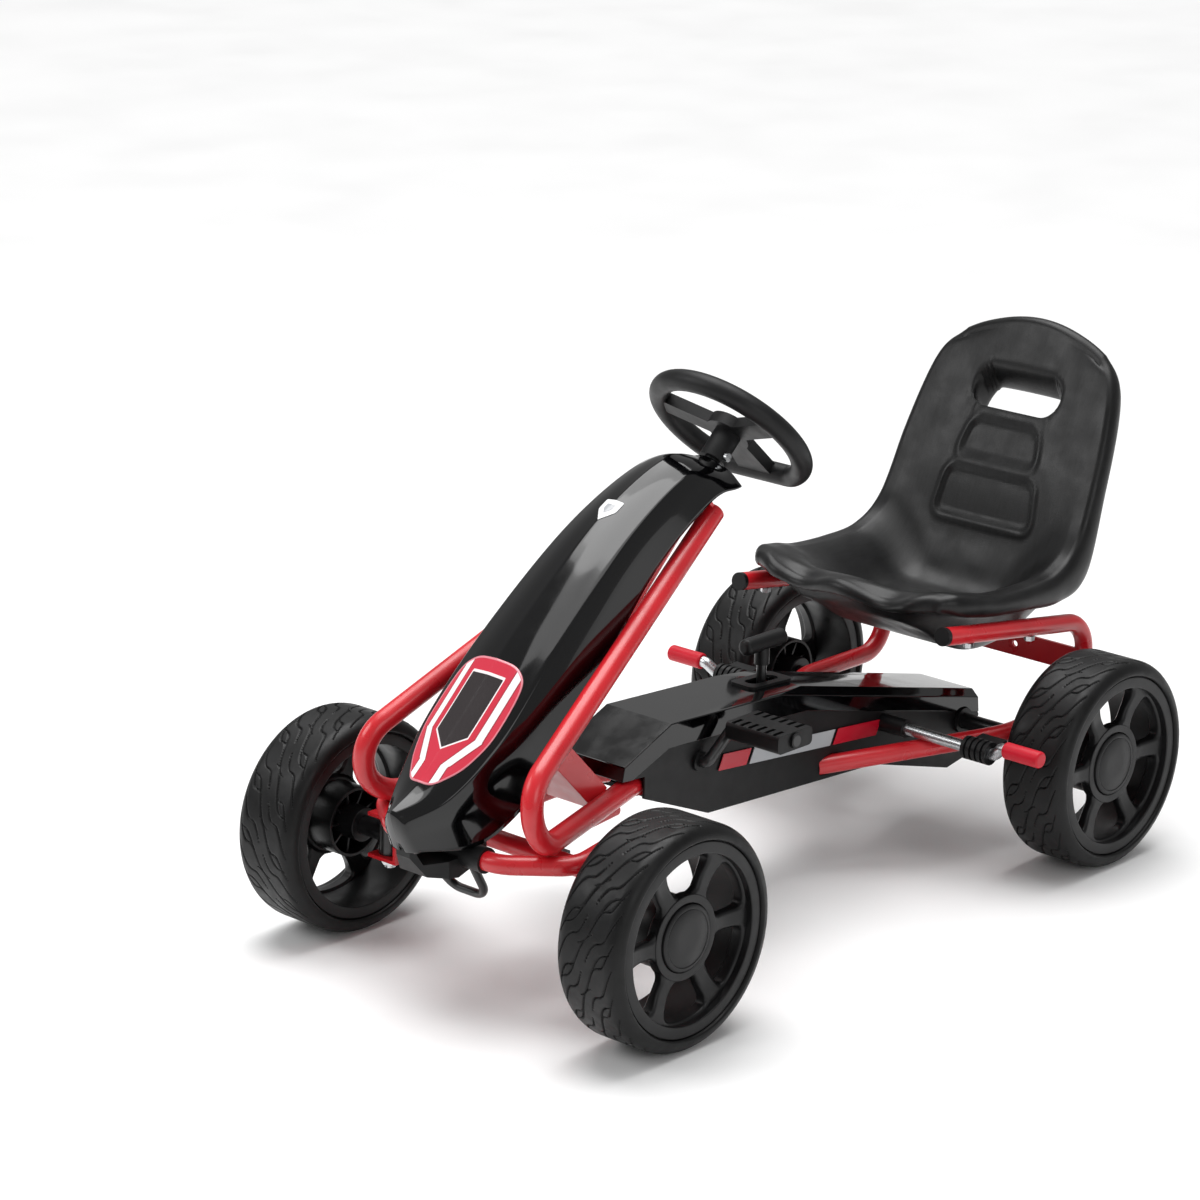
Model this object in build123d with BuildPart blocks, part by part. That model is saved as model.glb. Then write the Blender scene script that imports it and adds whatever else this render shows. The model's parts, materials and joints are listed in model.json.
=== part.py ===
"""Children's pedal go kart: every piece is its own solid in one shared frame.

Millimetres. +X forward, +Y to the driver's left, +Z up. The origin is on the floor,
at the centre of the kart's bounding box.
"""
from build123d import *
import os
from math import cos, hypot, radians, sin, sqrt

os.makedirs("parts", exist_ok=True)

# ---- driving dimensions -------------------------------------------------------------
wheel_radius = 127.0
tyre_width = 90.0
rim_radius = 108.6
track = 490.0
front_axle_x = 409.0
rear_axle_x = -361.0
axle_z = wheel_radius
wheel_y = track / 2
running_gap = 0.05        # radial clearance of a shaft that turns in its bore
body_gap = 0.4            # least space between pieces that move past each other

tube_r = 12.5             # hoop tubes
rail_r = 11.0             # bumper, beam and seat rails
tube_wall = 2.0

kingpin_y = 168.0
kingpin_r = 6.0
stub_r = 6.0
arm_length = 68.0         # from kingpin to tie-rod bolt
arm_bolt_r = 4.0
tie_rod_x = front_axle_x - arm_length
tie_rod_bottom_z = 132.0
tie_rod_thickness = 5.0
beam_z = 165.0

wheel_hub_x = 32.0        # centre of the steering wheel
wheel_hub_z = 560.0
column_low_x = 366.0      # where the column leaves its lower bearing
column_low_z = 240.0
column_r = 9.5

case_half_width = 50.0
case_wall = 3.0

crank_x = 130.0
crank_z = 198.0
crank_r = 6.5
crank_throw_x = -42.0     # left pedal spindle from the crank axis
crank_throw_z = 40.0
pedal_y = 115.0
pedal_length = 78.0
pedal_width = 60.0
pedal_height = 22.0

axle_r = 8.0
chain_pitch = 12.7
chainring_teeth = 18
axle_sprocket_teeth = 10
chain_y = -24.0

brake_x = -206.0
brake_z = 162.0
brake_shaft_r = 7.0
brake_pad_y = 192.0

seat_top_x = -575.0
seat_half_width = 165.0

column_len = hypot(column_low_x - wheel_hub_x, wheel_hub_z - column_low_z)
column_dx = (column_low_x - wheel_hub_x) / column_len
column_dz = (column_low_z - wheel_hub_z) / column_len


# ---- helpers ------------------------------------------------------------------------
def finish(builder, node):
    """Label a finished piece and write it under its node's name."""
    builder.part.label = node
    export_step(builder.part, f"parts/{node}.step")


def side_name(side):
    return "left" if side > 0 else "right"


def column_point(distance):
    """A point on the steering column's axis, measured down from the steering wheel."""
    return (wheel_hub_x + column_dx * distance, 0, wheel_hub_z + column_dz * distance)


def column_plane(distance):
    """Plane across the column: local x is to the right, local y is up the dashboard."""
    return Plane(origin=column_point(distance), x_dir=(0, -1, 0), z_dir=(-column_dx, 0, -column_dz))


def across(x, z, y=0.0):
    """Plane across the kart: local z runs to the left, local x forward."""
    return Plane(origin=(x, y, z), x_dir=(1, 0, 0), z_dir=(0, 1, 0))


def round_tube(points, bends, radius, wall=tube_wall):
    """A round tube along straight runs joined by bends of the given radii."""
    with BuildPart() as tube:
        with BuildLine() as route:
            if len(points) > 2:
                FilletPolyline(*points, radius=bends)
            else:
                Line(*points)
        with BuildSketch(Plane(origin=route.line @ 0, z_dir=route.line % 0)):
            Circle(radius)
            if wall:
                Circle(radius - wall, mode=Mode.SUBTRACT)
        sweep()
    return tube


def side_extrusion(outline, half_width, centre_y=0.0):
    """A closed XZ outline carried across the kart by half_width each way."""
    with BuildPart() as block:
        with BuildSketch(Plane(origin=(0, centre_y, 0), x_dir=(1, 0, 0), z_dir=(0, -1, 0))):
            with BuildLine():
                Polyline(*outline, close=True)
            make_face()
        extrude(amount=half_width, both=True)
    return block.part


def bore_across(x, z, radius):
    """A straight hole right across the kart, to take out of a piece."""
    with BuildPart() as bore:
        with BuildSketch(across(x, z)):
            Circle(radius)
        extrude(amount=80, both=True)
    return bore.part


# ---- wheels -------------------------------------------------------------------------
rim_half = 42.0
lip_width = 8.0
barrel_outer_r = 100.0
barrel_inner_r = 95.0
hub_r = 20.0
hub_face_r = 41.0
cap_r = 38.0
disc_inner_w = 16.0
disc_outer_w = 31.0
spoke_count = 6
spoke_width = 21.0
hub_inner_w = -36.0


def wheel_profile_plane(x, side):
    """Local x is the radius, local y runs outward along the axle."""
    return Plane(origin=(x, side * wheel_y, axle_z), x_dir=(0, 0, 1), z_dir=(-side, 0, 0))


def wheel_face_plane(x, side, offset):
    """Plane of a wheel's outer side, offset outward from the wheel's middle."""
    return Plane(origin=(x, side * (wheel_y + offset), axle_z), x_dir=(1, 0, 0), z_dir=(0, side, 0))


def make_tyre(x, side):
    half = tyre_width / 2
    seat_w = rim_half - lip_width
    with BuildPart() as tyre:
        with BuildSketch(wheel_profile_plane(x, side)):
            with BuildLine():
                Polyline((rim_radius + 0.1, -half + 2), (rim_radius + 0.1, -seat_w),
                         (barrel_outer_r, -seat_w), (barrel_outer_r, seat_w),
                         (rim_radius + 0.1, seat_w), (rim_radius + 0.1, half - 2))
                Line((rim_radius + 0.1, half - 2), (112.0, half))
                ThreePointArc((112.0, half), (122.7, half - 5.7), (wheel_radius, half - 17))
                Line((wheel_radius, half - 17), (wheel_radius, -half + 17))
                ThreePointArc((wheel_radius, -half + 17), (122.7, -half + 5.7), (112.0, -half))
                Line((112.0, -half), (rim_radius + 0.1, -half + 2))
            make_face()
        revolve(axis=Axis((x, 0, axle_z), (0, 1, 0)))
    return tyre


def make_rim(x, side, bore_r):
    with BuildPart() as rim:
        with BuildSketch(wheel_profile_plane(x, side)):
            with BuildLine():
                Polyline((barrel_inner_r, -rim_half), (rim_radius, -rim_half),
                         (rim_radius, -rim_half + lip_width), (barrel_outer_r, -rim_half + lip_width),
                         (barrel_outer_r, rim_half - lip_width), (rim_radius, rim_half - lip_width),
                         (rim_radius, rim_half), (barrel_inner_r, rim_half), close=True)
            make_face()
            with BuildLine():
                Polyline((bore_r, hub_inner_w), (hub_r, hub_inner_w), (hub_r, disc_inner_w),
                         (barrel_inner_r, disc_inner_w), (barrel_inner_r, disc_outer_w),
                         (cap_r + 0.2, disc_outer_w), (cap_r + 0.2, disc_outer_w - 5),
                         (17.0, disc_outer_w - 5), (17.0, disc_outer_w - 17), (bore_r, disc_outer_w - 17),
                         close=True)
            make_face()
        revolve(axis=Axis((x, 0, axle_z), (0, 1, 0)))
        # six windows between the spokes
        with BuildSketch(wheel_face_plane(x, side, disc_inner_w - 1)) as windows:
            Circle(barrel_inner_r - 2)
            Circle(hub_face_r + 5, mode=Mode.SUBTRACT)
            with PolarLocations(0, spoke_count):
                Rectangle(2 * barrel_inner_r, spoke_width, align=(Align.MIN, Align.CENTER),
                          mode=Mode.SUBTRACT)
            fillet(windows.vertices(), 7)
        extrude(amount=disc_outer_w - disc_inner_w + 2, mode=Mode.SUBTRACT)
    return rim


def make_cap(x, side):
    with BuildPart() as cap:
        with BuildSketch(wheel_face_plane(x, side, disc_outer_w - 5)):
            Circle(cap_r)
        extrude(amount=8)
        fillet(cap.faces().sort_by(Axis.Y)[-1 if side > 0 else 0].edges(), 2)
        with BuildSketch(wheel_face_plane(x, side, disc_outer_w - 5)):
            Circle(15.5)
        extrude(amount=5, mode=Mode.SUBTRACT)
    return cap


for s in (1, -1):
    finish(make_tyre(front_axle_x, s), f"tyre_front_{side_name(s)}")
    finish(make_rim(front_axle_x, s, stub_r + running_gap), f"rim_front_{side_name(s)}")
    finish(make_cap(front_axle_x, s), f"hub_cap_front_{side_name(s)}")

# the rear pair is fixed to the axle
with BuildPart() as rear_tyres:
    for s in (1, -1):
        add(make_tyre(rear_axle_x, s).part)
finish(rear_tyres, "tyres_rear")

with BuildPart() as rear_rims:
    for s in (1, -1):
        add(make_rim(rear_axle_x, s, axle_r).part)
finish(rear_rims, "rims_rear")

with BuildPart() as rear_caps:
    for s in (1, -1):
        add(make_cap(rear_axle_x, s).part)
finish(rear_caps, "hub_caps_rear")


# ---- front frame --------------------------------------------------------------------
hoop_low_z = 205.0
for s in (1, -1):
    hoop = round_tube(
        [(98, s * 34, 483), (504, s * 128, 268), (474, s * 128, hoop_low_z), (206, s * 23, 187)],
        [45, 45], tube_r)
    finish(hoop, f"hoop_{side_name(s)}")

bumper_side = [(352, 138, 189), (440, 146, 181), (491, 80, 179)]
bumper_points = bumper_side + [(px, -py, pz) for px, py, pz in reversed(bumper_side)]
bumper = round_tube(bumper_points, [35, 50, 50, 35], rail_r)
finish(bumper, "bumper_tube")

with BuildPart() as axle_beam:
    with BuildSketch(across(front_axle_x, beam_z)):
        Circle(rail_r)
        Circle(rail_r - tube_wall, mode=Mode.SUBTRACT)
    extrude(amount=150, both=True)
finish(axle_beam, "axle_beam")

with BuildPart() as stays:
    for s in (1, -1):
        add(round_tube([(401, s * 52, 169), (268, s * 44, 176)], [], 9.0).part)
finish(stays, "front_stays")

yoke_top = beam_z - rail_r
yoke_bottom = 100.0
yoke_t = 4.5
yoke_inner_y = 142.0
yoke_outer_y = 186.0
with BuildPart() as yokes:
    for s in (1, -1):
        with BuildSketch(Plane(origin=(front_axle_x, 0, 0), x_dir=(0, 1, 0), z_dir=(1, 0, 0))):
            with BuildLine():
                Polyline((s * yoke_outer_y, yoke_top), (s * yoke_inner_y, yoke_top),
                         (s * yoke_inner_y, yoke_bottom), (s * yoke_outer_y, yoke_bottom),
                         (s * yoke_outer_y, yoke_bottom + yoke_t),
                         (s * (yoke_inner_y + yoke_t), yoke_bottom + yoke_t),
                         (s * (yoke_inner_y + yoke_t), yoke_top - yoke_t),
                         (s * yoke_outer_y, yoke_top - yoke_t), close=True)
            make_face()
        extrude(amount=18, both=True)
    with BuildSketch(Plane.XY.offset(yoke_bottom - 1)):
        with Locations((front_axle_x, kingpin_y), (front_axle_x, -kingpin_y)):
            Circle(kingpin_r)
    extrude(amount=yoke_top - yoke_bottom + 2, mode=Mode.SUBTRACT)
finish(yokes, "kingpin_yokes")

kingpin_spots = [(front_axle_x, kingpin_y), (front_axle_x, -kingpin_y)]
with BuildPart() as kingpins:
    with BuildSketch(Plane.XY.offset(yoke_bottom - 12)):
        with Locations(*kingpin_spots):
            Circle(kingpin_r)
    extrude(amount=yoke_top - yoke_bottom + 12)
    with BuildSketch(Plane.XY.offset(yoke_top)):
        with Locations(*kingpin_spots):
            RegularPolygon(10, 6)
    extrude(amount=6)
    with BuildSketch(Plane.XY.offset(yoke_bottom - 8)):
        with Locations(*kingpin_spots):
            RegularPolygon(10, 6)
    extrude(amount=8)
finish(kingpins, "kingpins")

for s in (1, -1):
    stub_plane = Plane(origin=(front_axle_x, s * kingpin_y, axle_z), x_dir=(1, 0, 0), z_dir=(0, s, 0))
    with BuildPart() as knuckle:
        with BuildSketch(Plane.XY.offset(yoke_bottom + yoke_t + body_gap)):
            with Locations((front_axle_x, s * kingpin_y)):
                Circle(13)
        extrude(amount=yoke_top - yoke_bottom - 2 * yoke_t - 2 * body_gap)
        with BuildSketch(stub_plane):
            Circle(11)
        extrude(amount=wheel_y + hub_inner_w - kingpin_y - body_gap)
        with BuildSketch(stub_plane):
            Circle(stub_r)
        extrude(amount=wheel_y + disc_outer_w - 6 - kingpin_y)
        with BuildSketch(Plane.XY.offset(tie_rod_bottom_z - body_gap - 6)):
            with Locations((front_axle_x - arm_length / 2, s * kingpin_y)):
                SlotCenterToCenter(arm_length, 18)
        extrude(amount=6)
        with BuildSketch(Plane.XY.offset(yoke_bottom)):
            with Locations((front_axle_x, s * kingpin_y)):
                Circle(kingpin_r + running_gap)
            with Locations((tie_rod_x, s * kingpin_y)):
                Circle(arm_bolt_r)
        extrude(amount=yoke_top - yoke_bottom, mode=Mode.SUBTRACT)
    finish(knuckle, f"knuckle_{side_name(s)}")

    # the tie-rod bolt with its head and nut, and the nut that keeps the wheel on
    bolt_spot = (tie_rod_x, s * kingpin_y)
    with BuildPart() as fasteners:
        with BuildSketch(Plane.XY.offset(tie_rod_bottom_z - body_gap - 12)):
            with Locations(bolt_spot):
                RegularPolygon(7, 6)
        extrude(amount=6)
        with BuildSketch(Plane.XY.offset(tie_rod_bottom_z - body_gap - 6)):
            with Locations(bolt_spot):
                Circle(arm_bolt_r)
        extrude(amount=body_gap + 6 + tie_rod_thickness + body_gap + 8)
        with BuildSketch(Plane.XY.offset(tie_rod_bottom_z + tie_rod_thickness + body_gap)):
            with Locations(bolt_spot):
                RegularPolygon(7, 6)
        extrude(amount=6)
        with BuildSketch(wheel_face_plane(front_axle_x, s, disc_outer_w - 17 + body_gap)):
            RegularPolygon(10, 6)
            Circle(stub_r, mode=Mode.SUBTRACT)
        extrude(amount=7)
    finish(fasteners, f"knuckle_fasteners_{side_name(s)}")

tie_rod_end_clearance = 0.5   # radial play of the right-hand eye, the linkage's opened pivot
with BuildPart() as tie_rod:
    with BuildSketch(Plane.XY.offset(tie_rod_bottom_z)):
        with Locations((tie_rod_x, 0)):
            Rectangle(18, 2 * kingpin_y)
            Rectangle(34, 60)
        for s in (1, -1):
            with Locations((tie_rod_x, s * kingpin_y)):
                Circle(12)
        with Locations((tie_rod_x, kingpin_y)):
            Circle(arm_bolt_r + running_gap, mode=Mode.SUBTRACT)
        with Locations((tie_rod_x, -kingpin_y)):
            Circle(arm_bolt_r + tie_rod_end_clearance, mode=Mode.SUBTRACT)
        with Locations((tie_rod_x, 0)):
            Rectangle(22, 18, mode=Mode.SUBTRACT)
    extrude(amount=tie_rod_thickness)
finish(tie_rod, "tie_rod")

# ---- steering column ----------------------------------------------------------------
column_top = 24.0
screw_r = 2.5
screw_x, _, screw_z = column_point(36)
column_bottom = 478.0
bracket_along = column_len - 6
column_tube_r = 15.0
column_tube_top = 78.0
head_plate_along = 102.0
with BuildPart() as column:
    with BuildSketch(column_plane(column_bottom)):
        Circle(column_r)
        Circle(column_r - tube_wall, mode=Mode.SUBTRACT)
    extrude(amount=column_bottom - column_top)
    add(bore_across(screw_x, screw_z, screw_r), mode=Mode.SUBTRACT)
finish(column, "steering_column")

pin_tip_z = tie_rod_bottom_z - 6
arm_start = column_point(column_bottom - 8)
arm_knee = (tie_rod_x, 0, tie_rod_bottom_z + 30)
pitman = round_tube([arm_start, (350, 0, 200), arm_knee, (tie_rod_x, 0, pin_tip_z)], [12, 12], 4.0, wall=0)
finish(pitman, "pitman_arm")

with BuildPart() as column_tube:
    with BuildSketch(column_plane(column_len + 2)):
        Circle(column_tube_r)
        Circle(column_tube_r - tube_wall, mode=Mode.SUBTRACT)
    extrude(amount=column_len + 2 - column_tube_top)
finish(column_tube, "column_tube")

with BuildPart() as head_plate:
    with BuildSketch(column_plane(head_plate_along)):
        RectangleRounded(80, 38, 10)
        Circle(column_tube_r, mode=Mode.SUBTRACT)
    extrude(amount=4)
finish(head_plate, "steering_head_plate")

bracket_half = 46.0
bracket_t = 4.0
with BuildPart() as column_bracket:
    with BuildSketch(column_plane(bracket_along)):
        with BuildLine():
            Polyline((-bracket_half, 24), (-18, 24), (0, 10), (18, 24), (bracket_half, 24),
                     (bracket_half, -84), (-bracket_half, -84), close=True)
        make_face()
        Circle(column_tube_r, mode=Mode.SUBTRACT)
    extrude(amount=bracket_t)
    for s in (1, -1):
        with BuildSketch(column_plane(bracket_along)):
            with Locations((s * (bracket_half - bracket_t / 2), -30)):
                Rectangle(bracket_t, 108)
        extrude(amount=30)
finish(column_bracket, "column_bracket")

with BuildPart() as column_bushes:
    for bush_end in (column_tube_top + 28, column_len + 2):
        with BuildSketch(column_plane(bush_end)):
            Circle(column_tube_r - tube_wall)
            Circle(column_r + running_gap, mode=Mode.SUBTRACT)
        extrude(amount=28)
finish(column_bushes, "column_bushes")

# ---- steering wheel -----------------------------------------------------------------
grip_ring_r = 92.0
grip_r = 12.5
flat_drop = 80.0
flat_half = sqrt(grip_ring_r ** 2 - flat_drop ** 2)
with BuildPart() as steering_wheel:
    with BuildLine(column_plane(0)) as ring:
        ThreePointArc((-flat_half, -flat_drop), (0, grip_ring_r), (flat_half, -flat_drop))
        Line((flat_half, -flat_drop), (-flat_half, -flat_drop))
        fillet(ring.vertices(), 22)
    with BuildSketch(Plane(origin=ring.line @ 0, z_dir=ring.line % 0)):
        Circle(grip_r)
    sweep()
    with BuildSketch(column_plane(8)):
        Circle(27)
        for turn in (22, 158):
            with Locations(Rotation(0, 0, turn)):
                Rectangle(grip_ring_r - 6, 24, align=(Align.MIN, Align.CENTER))
        Trapezoid(50, flat_drop, 82, align=(Align.CENTER, Align.MAX))
    extrude(amount=14)
    with BuildSketch(column_plane(44)):
        Circle(16)
    extrude(amount=38)
    with BuildSketch(column_plane(44)):
        Circle(column_r)
    extrude(amount=44 - column_top, mode=Mode.SUBTRACT)
    add(bore_across(screw_x, screw_z, screw_r), mode=Mode.SUBTRACT)
finish(steering_wheel, "steering_wheel")

with BuildPart() as column_screw:
    with BuildSketch(across(screw_x, screw_z, -15)):
        Circle(screw_r)
    extrude(amount=31)
    with BuildSketch(across(screw_x, screw_z, 16)):
        Circle(5)
    extrude(amount=4)
finish(column_screw, "column_screw")

# ---- nose cover ---------------------------------------------------------------------
# x and z of the crown, tilt of the crown line, half widths at the crown's edge and at
# the lower edge, and the depth of the sides
cover_stations = [
    (80.0, 538.0, 26.0, 30.0, 46.0, 34.0),
    (146.0, 547.0, 30.0, 36.0, 50.0, 52.0),
    (256.0, 497.0, 34.0, 45.0, 55.0, 66.0),
    (377.0, 405.0, 42.0, 54.0, 67.0, 80.0),
    (471.0, 318.0, 46.0, 57.0, 74.0, 86.0),
    (532.0, 264.0, 36.0, 40.0, 55.0, 82.0),
    (575.0, 241.0, 26.0, 14.0, 22.0, 52.0),
]
cover_wall = 3.0
crown_drop = 12.0         # from the crown's middle to its edge


def cover_loft(shrink, extra_depth, end_trim):
    """The cover's outer form, or its hollow when shrunk and made deeper."""
    with BuildPart() as form:
        for x, z, tilt, half_top, half_low, depth in cover_stations:
            along = Vector(cos(radians(tilt)), 0, -sin(radians(tilt)))
            origin = Vector(x - end_trim * (x > 500), 0, z)
            # the sides keep their slope when they are drawn deeper
            low = half_low + (half_low - half_top) * extra_depth / (depth - crown_drop)
            with BuildSketch(Plane(origin=origin, x_dir=(0, 1, 0), z_dir=tuple(along))):
                with BuildLine():
                    Polyline((-half_top + shrink, -crown_drop - shrink), (0, -shrink),
                             (half_top - shrink, -crown_drop - shrink),
                             (low - shrink, -depth - extra_depth),
                             (shrink - low, -depth - extra_depth), close=True)
                make_face()
        loft(ruled=True)
    return form.part


with BuildPart() as nose_cover:
    add(cover_loft(0, 0, 0))
    add(cover_loft(cover_wall, 20, 5), mode=Mode.SUBTRACT)
finish(nose_cover, "nose_cover")

# matte chin below the cover, with a socket each side that grips the bumper tube
bumper_front_x = 491.0
bumper_front_z = 179.0
with BuildPart() as nose_chin:
    with BuildSketch(Plane.XY.offset(156)):
        with BuildLine():
            Polyline((556, -10), (556, 10), (520, 34), (462, 34), (462, -34), (520, -34), close=True)
        make_face()
    extrude(amount=52)
    chin_side = [(450, 150), (450, 214), (520, 214), (566, 200), (540, 162), (505, 156), (480, 164),
                 (462, 168), (455, 150)]
    add(side_extrusion(chin_side, 60), mode=Mode.INTERSECT)
    add(cover_loft(-body_gap, 20, 0), mode=Mode.SUBTRACT)
    with BuildSketch(across(bumper_front_x, bumper_front_z)):
        Circle(rail_r + 3.5)
    extrude(amount=62, both=True)
    with BuildSketch(across(bumper_front_x, bumper_front_z)):
        Circle(rail_r + 0.1)
    extrude(amount=70, both=True, mode=Mode.SUBTRACT)
finish(nose_chin, "nose_chin")

badge_t = 1.2
with BuildPart() as badge:
    with BuildSketch(Plane(origin=(474, 0, 318), x_dir=(0, -1, 0), z_dir=(0.70, 0, 0.714))):
        with BuildLine():
            Polyline((-30, 84), (30, 84), (46, 70), (50, 50), (50, -10), (38, -50), (16, -80), (-16, -80),
                     (-38, -50), (-50, -10), (-50, 50), (-46, 70), close=True)
        make_face()
    extrude(amount=60, both=True)
    add(cover_loft(-badge_t, 0, 0), mode=Mode.INTERSECT)
    add(cover_loft(0, 20, 0), mode=Mode.SUBTRACT)
finish(badge, "badge_panel")

with BuildPart() as tow_loop:
    with BuildLine() as loop_route:
        FilletPolyline((bumper_front_x - 6, -30, bumper_front_z - rail_r + 4), (455, -30, 118),
                       (455, 30, 118), (bumper_front_x - 6, 30, bumper_front_z - rail_r + 4), radius=20)
    with BuildSketch(Plane(origin=loop_route.line @ 0, z_dir=loop_route.line % 0)):
        Circle(5)
    sweep()
finish(tow_loop, "tow_loop")

# ---- chain case ---------------------------------------------------------------------
split_line = [(264, 196), (184, 226), (-58, 212), (-394, 130)]
top_line = [(-391, 159), (-58, 241), (180, 255), (258, 222)]
belly_line = [(-396, 126), (-370, 77), (-336, 71), (-192, 112), (112, 130), (262, 192)]
rail_entry = Vector(-92, 40, 133)
rail_bend = Vector(-300, 156, 150)
sleeve_r = 11.0
bush_r = 12.0
axle_bush_r = 16.0
channel_half = 36.0
channel_t = 3.0
shifter_x = -34.0
shifter_z = 190.0
top_slope = Vector(top_line[1][1] - top_line[2][1], 0, top_line[2][0] - top_line[1][0]).normalized()
bezel_z = top_line[1][1] - top_slope.X / top_slope.Z * (shifter_x - top_line[1][0])

def tube_mouth():
    """The notch in the front of the case where the hoop tubes enter."""
    return side_extrusion([(192, 150), (192, 202), (275, 204), (275, 150)], 44) + side_extrusion(
        [(222, 160), (222, 202), (275, 206), (275, 160)], 60)


with BuildPart() as case_top:
    add(side_extrusion(split_line + top_line, case_half_width))
    top_edges = case_top.edges().filter_by(GeomType.LINE).filter_by(
        lambda e: abs(abs(e.center().Y) - case_half_width) < 1 and e.length > 80
        and e.center().Z > 150 + 0.25 * (e.center().X + 225) + 38)
    chamfer(top_edges, 9)
    hollow = [(252, 192), (184, 222), (-58, 208), (-391, 126), (-389, 153), (-58, 234), (178, 248),
              (247, 216)]
    add(side_extrusion(hollow, case_half_width - case_wall), mode=Mode.SUBTRACT)
    add(bore_across(brake_x, brake_z, sleeve_r + 0.3), mode=Mode.SUBTRACT)
    add(bore_across(rear_axle_x, axle_z, axle_bush_r + 0.2), mode=Mode.SUBTRACT)
    add(tube_mouth(), mode=Mode.SUBTRACT)
    with BuildSketch(Plane(origin=(shifter_x, 0, 225), x_dir=(1, 0, 0), z_dir=(0, 0, 1))):
        SlotOverall(54, 22)
    extrude(amount=40, mode=Mode.SUBTRACT)
finish(case_top, "case_top")

with BuildPart() as case_lower:
    add(side_extrusion(split_line + belly_line, case_half_width - 2))
    hollow = [(250, 206), (184, 240), (-58, 230), (-391, 150), (-392, 124), (-366, 82), (-338, 76),
              (-192, 117), (110, 135), (250, 193)]
    add(side_extrusion(hollow, case_half_width - 2 - case_wall), mode=Mode.SUBTRACT)
    add(tube_mouth(), mode=Mode.SUBTRACT)
    add(bore_across(crank_x, crank_z, bush_r), mode=Mode.SUBTRACT)
    add(bore_across(rear_axle_x, axle_z, axle_bush_r), mode=Mode.SUBTRACT)
    add(bore_across(brake_x, brake_z, sleeve_r + 0.3), mode=Mode.SUBTRACT)
    for s in (1, -1):
        entry = Vector(rail_entry.X, s * rail_entry.Y, rail_entry.Z)
        outward = Vector(rail_bend.X, s * rail_bend.Y, rail_bend.Z) - entry
        with BuildSketch(Plane(origin=entry, z_dir=outward)):
            Circle(rail_r + 1)
        extrude(amount=40, mode=Mode.SUBTRACT)
finish(case_lower, "case_lower")

# steel channel inside the case: it carries the crank, the brake shaft and the axle
flange = [(232, 199), (184, 212), (-58, 199), (-383, 147), (-383, 110), (-192, 124), (112, 143), (190, 174),
          (232, 177)]
with BuildPart() as channel:
    for s in (1, -1):
        add(side_extrusion(flange, channel_t / 2, s * (channel_half - channel_t / 2)))
    add(side_extrusion([(112, 146), (112, 143), (22, 138), (22, 141)], channel_half))
    add(side_extrusion([(-300, 140), (-300, 143), (-340, 137), (-340, 134)], channel_half))
    add(bore_across(crank_x, crank_z, bush_r), mode=Mode.SUBTRACT)
    add(bore_across(rear_axle_x, axle_z, axle_bush_r), mode=Mode.SUBTRACT)
    add(bore_across(brake_x, brake_z, sleeve_r), mode=Mode.SUBTRACT)
    add(bore_across(shifter_x, shifter_z, 4), mode=Mode.SUBTRACT)
finish(channel, "chassis_channel")


def bush_pair(x, z, outer_r, bore_r, inner_y, outer_y):
    """A plastic bush on each side of the case."""
    with BuildPart() as pair:
        for s in (1, -1):
            with BuildSketch(across(x, z, s * inner_y)):
                Circle(outer_r)
                Circle(bore_r, mode=Mode.SUBTRACT)
            extrude(amount=s * (outer_y - inner_y))
    return pair.part


bush_inner_y = channel_half - channel_t
with BuildPart() as case_bushes:
    add(bush_pair(crank_x, crank_z, bush_r, crank_r + running_gap, bush_inner_y, 52))
    add(bush_pair(rear_axle_x, axle_z, axle_bush_r, axle_r + running_gap, bush_inner_y, 53))
finish(case_bushes, "case_bushes")

with BuildPart() as brake_sleeves:
    add(bush_pair(brake_x, brake_z, sleeve_r, brake_shaft_r + running_gap, bush_inner_y, 84))
finish(brake_sleeves, "brake_sleeves")

# ---- crank, pedals, chain and rear axle ---------------------------------------------
chainring_pitch_r = chain_pitch / (2 * sin(radians(180 / chainring_teeth)))
sprocket_pitch_r = chain_pitch / (2 * sin(radians(180 / axle_sprocket_teeth)))
sprocket_t = 2.4
chain_width = 7.6
crank_web_y = 66.0
pedal_outer_y = pedal_y + pedal_length / 2


def spindle(side):
    """x and z of a pedal spindle."""
    return crank_x + side * crank_throw_x, crank_z + side * crank_throw_z


left_x, left_z = spindle(1)
right_x, right_z = spindle(-1)
crankshaft = round_tube(
    [(left_x, pedal_outer_y + 3, left_z), (left_x, crank_web_y, left_z), (crank_x, 60, crank_z),
     (crank_x, -60, crank_z), (right_x, -crank_web_y, right_z), (right_x, -pedal_outer_y - 3, right_z)],
    [8, 7, 7, 8], crank_r, wall=0)
finish(crankshaft, "crankshaft")


def make_sprocket(x, z, pitch_r, teeth, bore_r):
    with BuildPart() as sprocket:
        with BuildSketch(across(x, z, chain_y - sprocket_t / 2)):
            Circle(pitch_r + 1)
            with PolarLocations(pitch_r, teeth):
                Circle(4, mode=Mode.SUBTRACT)
            Circle(bore_r, mode=Mode.SUBTRACT)
        extrude(amount=sprocket_t)
        with BuildSketch(across(x, z, chain_y - 5)):
            Circle(bore_r + 5)
            Circle(bore_r, mode=Mode.SUBTRACT)
        extrude(amount=10)
    return sprocket


finish(make_sprocket(crank_x, crank_z, chainring_pitch_r, chainring_teeth, crank_r), "chainring")
finish(make_sprocket(rear_axle_x, axle_z, sprocket_pitch_r, axle_sprocket_teeth, axle_r), "axle_sprocket")


def chain_band(inside, width):
    """The region within a belt round both sprockets, grown by inside."""
    with BuildPart() as band:
        with BuildSketch(across(0, 0, chain_y - width / 2)):
            with Locations((crank_x, -crank_z)):
                Circle(chainring_pitch_r + inside)
            with Locations((rear_axle_x, -axle_z)):
                Circle(sprocket_pitch_r + inside)
            make_hull()
        extrude(amount=width)
    return band.part


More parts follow.
